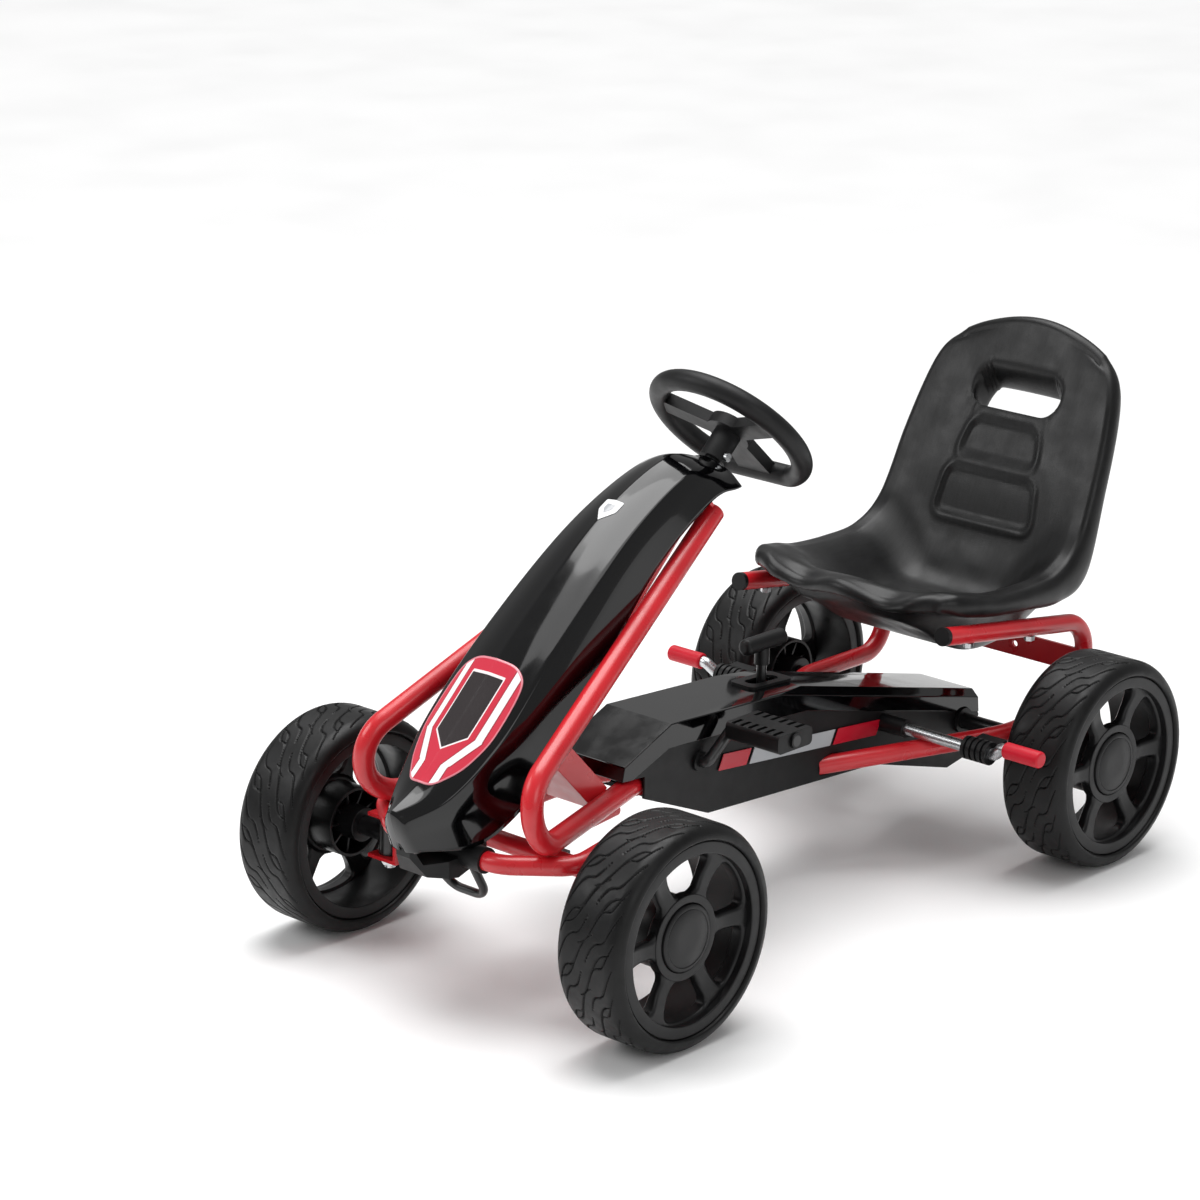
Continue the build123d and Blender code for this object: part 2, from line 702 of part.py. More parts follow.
with BuildPart() as chain:
    add(chain_band(4.2, chain_width))
    add(chain_band(-4.2, chain_width + 2), mode=Mode.SUBTRACT)
    add(chain_band(1.8, sprocket_t + 1), mode=Mode.SUBTRACT)
finish(chain, "chain")

for s in (1, -1):
    sx, sz = spindle(s)
    with BuildPart() as pedal:
        with BuildSketch(across(sx, sz, s * pedal_y)):
            RectangleRounded(pedal_width, pedal_height, 6)
            Circle(crank_r + running_gap, mode=Mode.SUBTRACT)
        extrude(amount=pedal_length / 2, both=True)
        for face in (1, -1):
            with BuildSketch(Plane(origin=(sx, s * pedal_y, sz + face * (pedal_height / 2 - 3)))):
                with GridLocations(1, 12, 1, 6):
                    for lane in (-1, 1):
                        with Locations((lane * 19, 0)):
                            Rectangle(16, 5)
            extrude(amount=face * 4, mode=Mode.SUBTRACT)
    finish(pedal, f"pedal_{side_name(s)}")

with BuildPart() as pedal_caps:
    for s in (1, -1):
        sx, sz = spindle(s)
        with BuildSketch(across(sx, sz, s * (pedal_outer_y + body_gap))):
            Circle(9)
            Circle(crank_r, mode=Mode.SUBTRACT)
        extrude(amount=s * 2.6)
finish(pedal_caps, "pedal_caps")

hub_inner_y = wheel_y + hub_inner_w
axle_end_y = wheel_y + disc_outer_w - 6
with BuildPart() as rear_axle:
    with BuildSketch(across(rear_axle_x, axle_z)):
        Circle(axle_r)
    extrude(amount=axle_end_y, both=True)
finish(rear_axle, "rear_axle")

with BuildPart() as axle_spacers:
    for s in (1, -1):
        with BuildSketch(across(rear_axle_x, axle_z, s * 53.5)):
            Circle(10)
            Circle(axle_r, mode=Mode.SUBTRACT)
        extrude(amount=s * (hub_inner_y - 53.5 - body_gap))
finish(axle_spacers, "axle_spacers")

with BuildPart() as axle_nuts:
    for s in (1, -1):
        with BuildSketch(across(rear_axle_x, axle_z, s * (wheel_y + disc_outer_w - 17 + body_gap))):
            RegularPolygon(12, 6)
            Circle(axle_r, mode=Mode.SUBTRACT)
        extrude(amount=s * 8)
finish(axle_nuts, "axle_nuts")

# ---- shift lever --------------------------------------------------------------------
lever_grip_z = 291.0
with BuildPart() as shift_lever:
    with BuildSketch(across(shifter_x, shifter_z)):
        Circle(11)
    extrude(amount=9, both=True)
    with BuildSketch(Plane.XY.offset(shifter_z)):
        with Locations((shifter_x, 0)):
            Circle(6)
    extrude(amount=lever_grip_z - shifter_z)
    with BuildSketch(across(shifter_x, shifter_z)):
        Circle(4 + running_gap)
    extrude(amount=12, both=True, mode=Mode.SUBTRACT)
finish(shift_lever, "shift_lever")

with BuildPart() as lever_grip:
    with BuildSketch(Plane(origin=(shifter_x - 38, 0, lever_grip_z), x_dir=(0, 1, 0), z_dir=(1, 0, 0))):
        Circle(10)
    extrude(amount=72)
    fillet(lever_grip.edges(), 6)
    with BuildSketch(Plane.XY.offset(lever_grip_z - 26)):
        with Locations((shifter_x, 0)):
            Circle(9)
    extrude(amount=20)
    with BuildSketch(Plane.XY.offset(lever_grip_z - 30)):
        with Locations((shifter_x, 0)):
            Circle(6)
    extrude(amount=30, mode=Mode.SUBTRACT)
finish(lever_grip, "shift_grip")

with BuildPart() as bezel:
    with BuildSketch(Plane(origin=(shifter_x, 0, bezel_z), x_dir=(1, 0, 0), z_dir=tuple(top_slope))):
        RectangleRounded(74, 38, 8)
        SlotOverall(50, 18, mode=Mode.SUBTRACT)
    extrude(amount=3)
finish(bezel, "shift_bezel")

# ---- brake --------------------------------------------------------------------------
grip_x = brake_x + 5
grip_z = brake_z + 12
brake_swing = 18.0
brake_half = [(grip_x, 284, grip_z), (grip_x, 229, grip_z), (brake_x, 215, brake_z)]
brake_shaft = round_tube(
    brake_half + [(px, -py, pz) for px, py, pz in reversed(brake_half)], [8, 8, 8, 8], brake_shaft_r, wall=0)
finish(brake_shaft, "brake_shaft")

pad_reach = 31.5
to_wheel = Vector(rear_axle_x - brake_x, 0, axle_z - brake_z).normalized()
pad_dir = to_wheel.rotate(Axis.Y, brake_swing)
with BuildPart() as brake_pads:
    for s in (1, -1):
        pad_plane = Plane(origin=(brake_x, s * brake_pad_y, brake_z), x_dir=tuple(pad_dir), z_dir=(0, 1, 0))
        with BuildSketch(pad_plane):
            Circle(14)
            Rectangle(pad_reach, 13, align=(Align.MIN, Align.CENTER))
            Circle(brake_shaft_r, mode=Mode.SUBTRACT)
        extrude(amount=18, both=True)
        for row in (-12, -4, 4, 12):
            with BuildSketch(Plane(origin=(brake_x, s * brake_pad_y + row - 1.5, brake_z), z_dir=(0, 1, 0))):
                Circle(16)
                Circle(11.5, mode=Mode.SUBTRACT)
            extrude(amount=3, mode=Mode.SUBTRACT)
finish(brake_pads, "brake_pads")

with BuildPart() as brake_grips:
    for s in (1, -1):
        with BuildSketch(across(grip_x, grip_z, s * 234)):
            Circle(10)
        extrude(amount=s * 52)
    fillet(brake_grips.edges(), 3)
    for s in (1, -1):
        with BuildSketch(across(grip_x, grip_z, s * 234)):
            Circle(brake_shaft_r)
        extrude(amount=s * 50, mode=Mode.SUBTRACT)
finish(brake_grips, "brake_grips")

# ---- seat rails and seat ------------------------------------------------------------
rail_y = 156.0
rail_front = (-179, 300)
rail_back = (-456, 257)
rail_slope = (rail_front[1] - rail_back[1]) / (rail_front[0] - rail_back[0])
for s in (1, -1):
    rail = round_tube(
        [(rail_front[0], s * rail_y, rail_front[1]), (rail_back[0], s * rail_y, rail_back[1]),
         (-463, s * rail_y, rail_bend.Z), (rail_bend.X, s * rail_y, rail_bend.Z),
         (rail_entry.X, s * rail_entry.Y, rail_entry.Z)],
        [42, 40, 80], rail_r)
    finish(rail, f"seat_rail_{side_name(s)}")

with BuildPart() as tube_plugs:
    for s in (1, -1):
        with BuildSketch(Plane(origin=(rail_front[0], s * rail_y, rail_front[1]), x_dir=(0, 1, 0),
                               z_dir=(1, 0, rail_slope))):
            Circle(rail_r)
        extrude(amount=6)
        with BuildSketch(Plane(origin=(352, s * 138, 189), x_dir=(0, 1, 0), z_dir=(1, 0, 0))):
            Circle(rail_r)
        extrude(amount=-5)
        with BuildSketch(Plane(origin=(front_axle_x, s * 150, beam_z), x_dir=(1, 0, 0), z_dir=(0, s, 0))):
            Circle(rail_r)
        extrude(amount=5)
finish(tube_plugs, "tube_plugs")

crossbar_x = -452.0
crossbar_t = 4.0
with BuildPart() as crossbar:
    with BuildSketch(Plane(origin=(crossbar_x, 0, 208), x_dir=(0, 1, 0), z_dir=(1, 0, 0))):
        Rectangle(2 * rail_y, 30)
        with GridLocations(120, 1, 2, 1):
            Circle(4, mode=Mode.SUBTRACT)
    extrude(amount=crossbar_t)
finish(crossbar, "rear_crossbar")

# moulded bucket seat
def front_outline(half_width, top_half, top_z, low_z):
    """The seat seen from the front, tapering to a rounded top, carried along the kart."""
    with BuildPart() as outline:
        with BuildSketch(Plane(origin=(-700, 0, 0), x_dir=(0, 1, 0), z_dir=(1, 0, 0))) as face:
            with BuildLine():
                Polyline((80, low_z), (half_width - 23, low_z + 44), (half_width, low_z + 60),
                         (half_width, 338), (half_width - 14, 400), (half_width - 25, 510),
                         (top_half, top_z), (-top_half, top_z),
                         (25 - half_width, 510), (14 - half_width, 400), (-half_width, 338),
                         (-half_width, low_z + 60), (23 - half_width, low_z + 44), (-80, low_z), close=True)
            make_face()
            fillet(face.vertices().group_by(Axis.Y)[-1], 36)
        extrude(amount=800)
    return outline.part


seat_rim = [(-181, 342), (-196, 345), (-232, 336), (-266, 327), (-396, 327), (-440, 356), (-478, 440),
            (-523, 540), (-550, 588)]
seat_back = [(seat_top_x, 590), (-548, 460), (-508, 345), (-462, 268), (-410, 238), (-350, 228), (-300, 238),
             (-230, 282), (-196, 296), (-181, 314)]
seat_surface = [(-100, 346), (-190, 340), (-215, 334), (-300, 300), (-370, 276), (-408, 278), (-436, 312),
                (-459, 393), (-482, 440), (-524, 540), (-540, 567), (-100, 800)]
seat_hollow = [(-176, 290), (-200, 322), (-214, 322), (-300, 288), (-370, 264), (-414, 268), (-447, 310),
               (-470, 393), (-500, 455), (-520, 430), (-468, 300), (-462, 200), (-200, 200)]
with BuildPart() as scoop:
    add(side_extrusion(seat_surface, seat_half_width))
    add(front_outline(seat_half_width - 25, 84, 566, 150), mode=Mode.INTERSECT)

with BuildPart() as seat:
    add(side_extrusion(seat_rim + seat_back, seat_half_width))
    add(front_outline(seat_half_width, 104, 588, 224), mode=Mode.INTERSECT)
    add(scoop.part, mode=Mode.SUBTRACT)
    add(side_extrusion(seat_hollow, seat_half_width - 26), mode=Mode.SUBTRACT)
    # channels that sit over the rails
    rail_top = [(-100, rail_front[1] + rail_slope * (-100 - rail_front[0]) + rail_r + 1.2),
                (-700, rail_front[1] + rail_slope * (-700 - rail_front[0]) + rail_r + 1.2)]
    for s in (1, -1):
        add(side_extrusion(rail_top + [(-700, 100), (-100, 100)], 16, s * 158), mode=Mode.SUBTRACT)
    with BuildSketch(Plane(origin=(-650, 0, 509), x_dir=(0, 1, 0), z_dir=(1, 0, 0))):
        SlotOverall(124, 38)
    extrude(amount=250, mode=Mode.SUBTRACT)
finish(seat, "seat")

with BuildPart() as chassis_fasteners:
    for s in (1, -1):
        for bolt_x in (-225, -345):
            bolt_z = rail_front[1] + rail_slope * (bolt_x - rail_front[0]) - rail_r
            with BuildSketch(Plane.XY.offset(bolt_z - 5)):
                with Locations((bolt_x, s * rail_y)):
                    RegularPolygon(6.5, 6)
            extrude(amount=5.5)
    with BuildSketch(across(shifter_x, shifter_z)):
        Circle(4)
    extrude(amount=channel_half + 2, both=True)
finish(chassis_fasteners, "chassis_fasteners")
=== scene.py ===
"""Pedal go kart: finished surfaces, materials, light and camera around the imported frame.

Metres. +X forward, +Y to the driver's left, +Z up, origin on the floor.
"""
import json
from math import cos, pi, radians, sin

import bpy
import bmesh
import numpy as np
from mathutils import Matrix, Vector
from mathutils.bvhtree import BVHTree

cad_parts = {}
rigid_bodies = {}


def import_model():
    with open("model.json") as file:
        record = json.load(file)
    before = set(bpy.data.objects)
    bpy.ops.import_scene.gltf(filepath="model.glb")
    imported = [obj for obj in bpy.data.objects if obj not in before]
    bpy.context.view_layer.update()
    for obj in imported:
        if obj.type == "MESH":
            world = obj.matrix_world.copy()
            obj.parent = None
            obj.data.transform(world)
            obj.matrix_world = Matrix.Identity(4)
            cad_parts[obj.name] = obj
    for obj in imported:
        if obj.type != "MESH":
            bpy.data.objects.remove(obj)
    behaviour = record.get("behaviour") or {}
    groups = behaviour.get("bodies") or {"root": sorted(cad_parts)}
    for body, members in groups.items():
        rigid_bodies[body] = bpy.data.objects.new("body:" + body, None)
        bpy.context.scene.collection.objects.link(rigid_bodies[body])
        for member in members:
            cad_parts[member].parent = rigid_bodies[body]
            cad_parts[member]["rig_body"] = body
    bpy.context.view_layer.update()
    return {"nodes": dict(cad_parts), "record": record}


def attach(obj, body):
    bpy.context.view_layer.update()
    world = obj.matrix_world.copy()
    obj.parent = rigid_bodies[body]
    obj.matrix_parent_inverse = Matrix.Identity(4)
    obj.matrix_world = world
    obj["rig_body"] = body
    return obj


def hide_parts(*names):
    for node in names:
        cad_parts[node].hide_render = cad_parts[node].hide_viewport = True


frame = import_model()
nodes = frame["nodes"]
MM = 0.001
CORNER_ANGLE, SHARP_ANGLE = 32, 40  # degrees: corners that are rounded, and edges that stay crisp


# ---- mesh helpers -------------------------------------------------------------------
def through(points, count):
    """A Catmull-Rom curve through the rows of points, read at evenly spaced parameters."""
    rows = np.array(points, float)
    padded = np.vstack([2 * rows[0] - rows[1], rows, 2 * rows[-1] - rows[-2]])
    t = np.linspace(0, len(rows) - 1, count)
    i = np.minimum(t.astype(int), len(rows) - 2)
    f = (t - i)[:, None]
    a, b, c, d = (padded[i + k] for k in range(4))
    return 0.5 * (2 * b + (c - a) * f + (2 * a - 5 * b + 4 * c - d) * f**2 + (3 * b - a - 3 * c + d) * f**3)


def step(low, high, x):
    """0 below low, 1 above high, and a smooth S between."""
    t = np.clip((x - low) / (high - low), 0, 1)
    return t * t * (3 - 2 * t)


def grid_faces(rows, cols, wrap_rows=False, wrap_cols=False):
    """Quads between neighbouring points of a rows by cols grid."""
    i, j = np.meshgrid(np.arange(rows - (not wrap_rows)), np.arange(cols - (not wrap_cols)), indexing="ij")
    i2, j2 = (i + 1) % rows, (j + 1) % cols
    quads = np.stack([i * cols + j, i * cols + j2, i2 * cols + j2, i2 * cols + j], -1)
    return quads.reshape(-1, 4)


def mesh_piece(name, points, faces, material, body, replaced=(), slot=None, smooth=30, merge=True):
    """A piece from its points and faces, with outward normals, that rides on a body."""
    mesh = bpy.data.meshes.new(name)
    corners = [list(map(int, face)) for face in faces]
    mesh.from_pydata(np.asarray(points, float).reshape(-1, 3).tolist(), [], corners)
    if merge:
        bm = bmesh.new()
        bm.from_mesh(mesh)
        bmesh.ops.remove_doubles(bm, verts=bm.verts, dist=2e-6)
        bmesh.ops.dissolve_degenerate(bm, edges=bm.edges, dist=1e-6)
        bmesh.ops.recalc_face_normals(bm, faces=bm.faces)
        bm.to_mesh(mesh)
        bm.free()
    mesh.shade_smooth()
    mesh.set_sharp_from_angle(angle=radians(smooth))
    piece = bpy.data.objects.new(name, mesh)
    bpy.context.scene.collection.objects.link(piece)
    mesh.materials.append(material)
    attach(piece, body)
    if replaced:
        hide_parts(*replaced)
    return piece


def add_modifier(piece, kind, **settings):
    """A modifier with its settings."""
    modifier = piece.modifiers.new(kind.lower(), kind)
    for key, value in settings.items():
        setattr(modifier, key, value)
    return modifier


def turned(profile, axis_at, side, turns=96, wrap=True):
    """A profile of (radius, width) rows turned about a wheel's axle; side is +1 on the left."""
    profile = np.array(profile, float) * MM
    angle = np.linspace(0, 2 * pi, turns, endpoint=False)[:, None]
    r, w = profile[:, 0], profile[:, 1]
    points = np.stack([axis_at[0] + np.cos(angle) * r, axis_at[1] + side * (w + 0 * angle),
                       axis_at[2] + np.sin(angle) * r], -1)
    return points.reshape(-1, 3), grid_faces(turns, len(profile), True, wrap)


def joined(*parts):
    """Several (points, faces) pairs as one."""
    points, faces, start = [], [], 0
    for some_points, some_faces in parts:
        some_points = np.asarray(some_points, float).reshape(-1, 3)
        points.append(some_points)
        faces += [[v + start for v in face] for face in some_faces]
        start += len(some_points)
    return np.vstack(points), faces


def softened(name, material, width):
    """A copy of a CAD node with its corners rounded over by width millimetres, as casting,
    folding or moulding leaves them."""
    source = nodes[name]
    mesh = source.data.copy()
    bm = bmesh.new()
    bm.from_mesh(mesh)
    bmesh.ops.remove_doubles(bm, verts=bm.verts, dist=1e-5)
    bmesh.ops.dissolve_limit(bm, angle_limit=radians(1), verts=bm.verts, edges=bm.edges)
    bm.to_mesh(mesh)
    bm.free()
    mesh.shade_smooth()
    piece = bpy.data.objects.new(name + "_finished", mesh)
    bpy.context.scene.collection.objects.link(piece)
    mesh.materials.clear()
    mesh.materials.append(material)
    add_modifier(piece, "BEVEL", width=width * MM, segments=3, limit_method="ANGLE",
                 angle_limit=radians(CORNER_ANGLE), harden_normals=True, use_clamp_overlap=True)
    mesh.set_sharp_from_angle(angle=radians(SHARP_ANGLE))
    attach(piece, source["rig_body"])
    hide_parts(name)
    return piece


slots = {row["node"]: row["material_slot"] for row in frame["record"]["subparts"]}


# ---- materials ----------------------------------------------------------------------
def colour(code):
    """An sRGB hex value as linear red, green, blue and alpha."""
    parts = [int(code[i:i + 2], 16) / 255 for i in (1, 3, 5)]
    return [p / 12.92 if p <= 0.04045 else ((p + 0.055) / 1.055) ** 2.4 for p in parts] + [1.0]


def add_node(tree, kind, inputs=(), **settings):
    """Adds a node with its settings; each input is a value or another node's output."""
    node = tree.nodes.new(kind)
    for key, value in settings.items():
        setattr(node, key, value)
    for key, value in dict(inputs).items():
        if isinstance(value, bpy.types.NodeSocket):
            tree.links.new(value, node.inputs[key])
        else:
            node.inputs[key].default_value = value
    return node


def new_material(name, base, roughness, metallic=0.0, **sockets):
    """A material with its shader, and the Object coordinates that its patterns read."""
    material = bpy.data.materials.new(name)
    material.use_nodes = True
    tree = material.node_tree
    shader = tree.nodes["Principled BSDF"]
    shader.inputs["Base Color"].default_value = colour(base)
    shader.inputs["Roughness"].default_value = roughness
    shader.inputs["Metallic"].default_value = metallic
    for key, value in sockets.items():
        shader.inputs[key.replace("_", " ")].default_value = value
    place = add_node(tree, "ShaderNodeTexCoord").outputs["Object"]
    return material, tree, shader, place


def grain(tree, place, size_mm, detail=2.0, roughness=0.5):
    """Noise with features of about this size."""
    inputs = {"Vector": place, "Scale": 1 / (size_mm * MM), "Detail": detail, "Roughness": roughness}
    return add_node(tree, "ShaderNodeTexNoise", inputs).outputs["Fac"]


def vary(tree, shader, socket, factor, low, high):
    """The socket moves between low and high with a pattern."""
    spread = add_node(tree, "ShaderNodeMapRange", {"Value": factor, "From Min": 0.3, "From Max": 0.7,
                                                   "To Min": low, "To Max": high})
    tree.links.new(spread.outputs["Result"], shader.inputs[socket])


def tint(tree, shader, factor, dark, light, low=0.35, high=0.65):
    """The base colour moves between two colours with a pattern."""
    ramp = add_node(tree, "ShaderNodeValToRGB", {"Fac": factor})
    ramp.color_ramp.elements[0].position, ramp.color_ramp.elements[1].position = low, high
    ramp.color_ramp.elements[0].color, ramp.color_ramp.elements[1].color = colour(dark), colour(light)
    tree.links.new(ramp.outputs["Color"], shader.inputs["Base Color"])


def bumps(tree, shader, *layers):
    """Relief from patterns, each with its depth in millimetres."""
    normal = None
    for height, depth_mm in layers:
        inputs = {"Height": height, "Strength": 1.0, "Distance": depth_mm * MM}
        if normal is not None:
            inputs["Normal"] = normal
        normal = add_node(tree, "ShaderNodeBump", inputs).outputs["Normal"]
    tree.links.new(normal, shader.inputs["Normal"])


def powder_coated_steel(name, base, dark, roughness=0.3):
    """Powder-coated steel: baked polyester with a fine orange peel and a soft gloss."""
    material, tree, shader, place = new_material(name, base, roughness, IOR=1.5, Coat_Weight=0.25,
                                                 Coat_Roughness=0.12)
    tint(tree, shader, grain(tree, place, 60), dark, base, 0.3, 0.6)
    vary(tree, shader, "Roughness", grain(tree, place, 25), roughness - 0.05, roughness + 0.08)
    bumps(tree, shader, (grain(tree, place, 1.6, 1.0), 0.02))
    return material


def moulded_plastic(name, base, light, roughness, texture_mm, depth_mm, **sockets):
    """Injection-moulded plastic: even colour with the tool's spark-eroded texture."""
    material, tree, shader, place = new_material(name, base, roughness, IOR=1.49,
                                                 Specular_IOR_Level=0.3, **sockets)
    tint(tree, shader, grain(tree, place, 45), base, light)
    vary(tree, shader, "Roughness", grain(tree, place, 18), roughness - 0.04, roughness + 0.06)
    bumps(tree, shader, (grain(tree, place, texture_mm, 1.0), depth_mm))
    return material


def bare_metal(name, base, roughness, scratch_mm=0.5, **sockets):
    """Plated or oiled steel: a metal with fine handling marks."""
    material, tree, shader, place = new_material(name, base, roughness, 1.0, **sockets)
    stretched = add_node(tree, "ShaderNodeMapping", {"Vector": place, "Scale": (1, 6, 1)}).outputs["Vector"]
    vary(tree, shader, "Roughness", grain(tree, stretched, 4), roughness - 0.07, roughness + 0.12)
    bumps(tree, shader, (grain(tree, stretched, scratch_mm), 0.006))
    return material


def seat_hdpe():
    """Blow-moulded HDPE: waxy satin black, with a leather grain etched in the mould."""
    material, tree, shader, place = new_material("hdpe_blow_moulded", "#0d0d0e", 0.34, IOR=1.5,
                                                 Specular_IOR_Level=0.33)
    cells = add_node(tree, "ShaderNodeTexVoronoi", {"Vector": place, "Scale": 1 / (2.2 * MM)},
                     feature="DISTANCE_TO_EDGE").outputs["Distance"]
    drawn_out = {"Vector": place, "Scale": (0.25, 2.0, 0.25)}
    along = add_node(tree, "ShaderNodeMapping", drawn_out).outputs["Vector"]
    tint(tree, shader, grain(tree, along, 6), "#090909", "#111112")
    vary(tree, shader, "Roughness", grain(tree, place, 30), 0.3, 0.44)
    bumps(tree, shader, (cells, 0.1), (grain(tree, along, 2.5), 0.05))
    return material


def eva_foam():
    """Moulded EVA foam: soft black skin with closed pores and a semi-gloss from the mould."""
    material, tree, shader, place = new_material("eva_foam_tyre", "#0b0b0c", 0.4, IOR=1.48,
                                                 Specular_IOR_Level=0.27)
    tint(tree, shader, grain(tree, place, 35), "#080808", "#0e0e0f")
    vary(tree, shader, "Roughness", grain(tree, place, 12), 0.36, 0.5)
    bumps(tree, shader, (grain(tree, place, 1.1), 0.05), (grain(tree, place, 14), 0.25))
    return material


def gloss_abs(name, base, roughness=0.07):
    """High-gloss ABS: polished mould finish with the faint sink waves of a thin moulding."""
    material, tree, shader, place = new_material(name, base, roughness, IOR=1.54, Coat_Weight=0.2,
                                                 Coat_Roughness=0.03, Specular_IOR_Level=0.36)
    vary(tree, shader, "Roughness", grain(tree, place, 30), roughness - 0.02, roughness + 0.05)
    bumps(tree, shader, (grain(tree, place, 55, 0.0), 0.12))
    return material


def stepped_ramp(tree, factor, stops):
    """Even colours between sharp limits."""
    ramp = add_node(tree, "ShaderNodeValToRGB", {"Fac": factor})
    ramp.color_ramp.interpolation = "CONSTANT"
    for k, (position, code) in enumerate(stops):
        element = ramp.color_ramp.elements[k] if k < 2 else ramp.color_ramp.elements.new(position)
        element.position, element.color = position, colour(code)
    return ramp.outputs["Color"]


def badge_vinyl():
    """Printed vinyl under a clear film: a dark pointed panel in front of red and white
    stripes, both read from the share and distance that the badge's mesh carries."""
    material, tree, shader, _ = new_material("printed_vinyl", "#d01c34", 0.22, IOR=1.5, Coat_Weight=0.7,
                                             Coat_Roughness=0.04)
    panel = add_node(tree, "ShaderNodeAttribute", attribute_name="panel").outputs["Fac"]
    stripe = add_node(tree, "ShaderNodeAttribute", attribute_name="stripe").outputs["Fac"]
    rim_share = add_node(tree, "ShaderNodeAttribute", attribute_name="share").outputs["Fac"]
    dark = stepped_ramp(tree, panel, [(0.0, "#1d1416"), (0.94, "#ece4e5")])
    bands = stepped_ramp(tree, stripe, [(0.0, "#c4213a"), (0.22, "#8d1a2e"), (0.25, "#f2ebec"),
                                        (0.46, "#8d1a2e"), (0.49, "#c92a41"), (0.77, "#8f1c30"),
                                        (0.80, "#c4213a")])
    outside = add_node(tree, "ShaderNodeMath", {0: panel, 1: 1.0}, operation="GREATER_THAN").outputs["Value"]
    inner = add_node(tree, "ShaderNodeMix", {"Factor": outside, "A": dark, "B": bands}, data_type="RGBA")
    border = stepped_ramp(tree, rim_share, [(0.0, "#000000"), (0.965, "#ffffff")])
    edge = add_node(tree, "ShaderNodeMix", {"Factor": border, "A": inner.outputs["Result"]}, data_type="RGBA")
    edge.inputs["B"].default_value = colour("#d9808c")
    tree.links.new(edge.outputs["Result"], shader.inputs["Base Color"])
    return material


red_steel = powder_coated_steel("powder_coated_steel_red", "#cb1c26", "#bd1822")
red_bracket = powder_coated_steel("powder_coated_steel_bracket", "#d4262e", "#c9222b")
black_steel = powder_coated_steel("enamelled_steel_black", "#161617", "#0c0c0d", 0.34)
tyre_foam = eva_foam()
wheel_pp = moulded_plastic("polypropylene_wheel", "#0e0e0f", "#151516", 0.36, 0.8, 0.03)
matte_pp = moulded_plastic("polypropylene_textured", "#0b0b0c", "#121213", 0.44, 0.7, 0.05)
cover_abs = gloss_abs("abs_gloss_black", "#030304")
seat_plastic = seat_hdpe()
grip_pvc = moulded_plastic("pvc_grip_red", "#bd1226", "#c61b2f", 0.38, 1.0, 0.05)
zinc = bare_metal("zinc_plated_steel", "#c4c6c8", 0.28)
chain_metal = bare_metal("oiled_chain_steel", "#6a6a6c", 0.36)
vinyl = badge_vinyl()
vinyl_white = gloss_abs("printed_vinyl_white", "#e9e9ea", 0.2)
vinyl_grey = gloss_abs("printed_vinyl_grey", "#a9abae", 0.24)
vinyl_red = gloss_abs("printed_vinyl_red", "#b81229", 0.22)

finish_of_slot = {
    "red_powder_coat": red_steel, "eva_tyre": tyre_foam, "wheel_plastic": wheel_pp,
    "gloss_black_plastic": cover_abs, "matte_black_plastic": matte_pp, "seat_plastic": seat_plastic,
    "red_grip": grip_pvc, "badge_print": vinyl, "zinc_steel": zinc, "black_steel": black_steel,
    "chain_steel": chain_metal,
}
for node_name, node_object in nodes.items():
    node_object.data.materials.clear()
    node_object.data.materials.append(finish_of_slot[slots[node_name]])
nodes["column_bracket"].data.materials[0] = red_bracket

# ---- wheels -------------------------------------------------------------------------
TYRE_R, TYRE_HALF = 127.0, 45.0
RIM_R, RIM_HALF, BARREL_R = 108.6, 42.0, 95.0


def groove(distance, width, depth):
    """Depth of a moulded groove with rounded flanks at this distance from its middle."""
    return depth * (1 - step(0.35, 1.0, np.abs(distance) / np.maximum(width, 0.05)))


# Sipes, in turns of the repeat and millimetres: offset round the tread, where each starts and
# ends across it, how far it leans and curls along it, and its half width. They sit coarser
# than a real tread's finest cuts, which would not show.
SIPES = ((0.0, 2, 38, 58, 7, 1.2), (0.34, -9, 34, 64, -7, 1.1), (0.66, 7, 37, 46, 6, 1.15))
SIPE_REPEATS, SIPE_DEPTH, SIPE_SHIFT = 13, 1.9, 0.12
AROUND_TYRE = 840


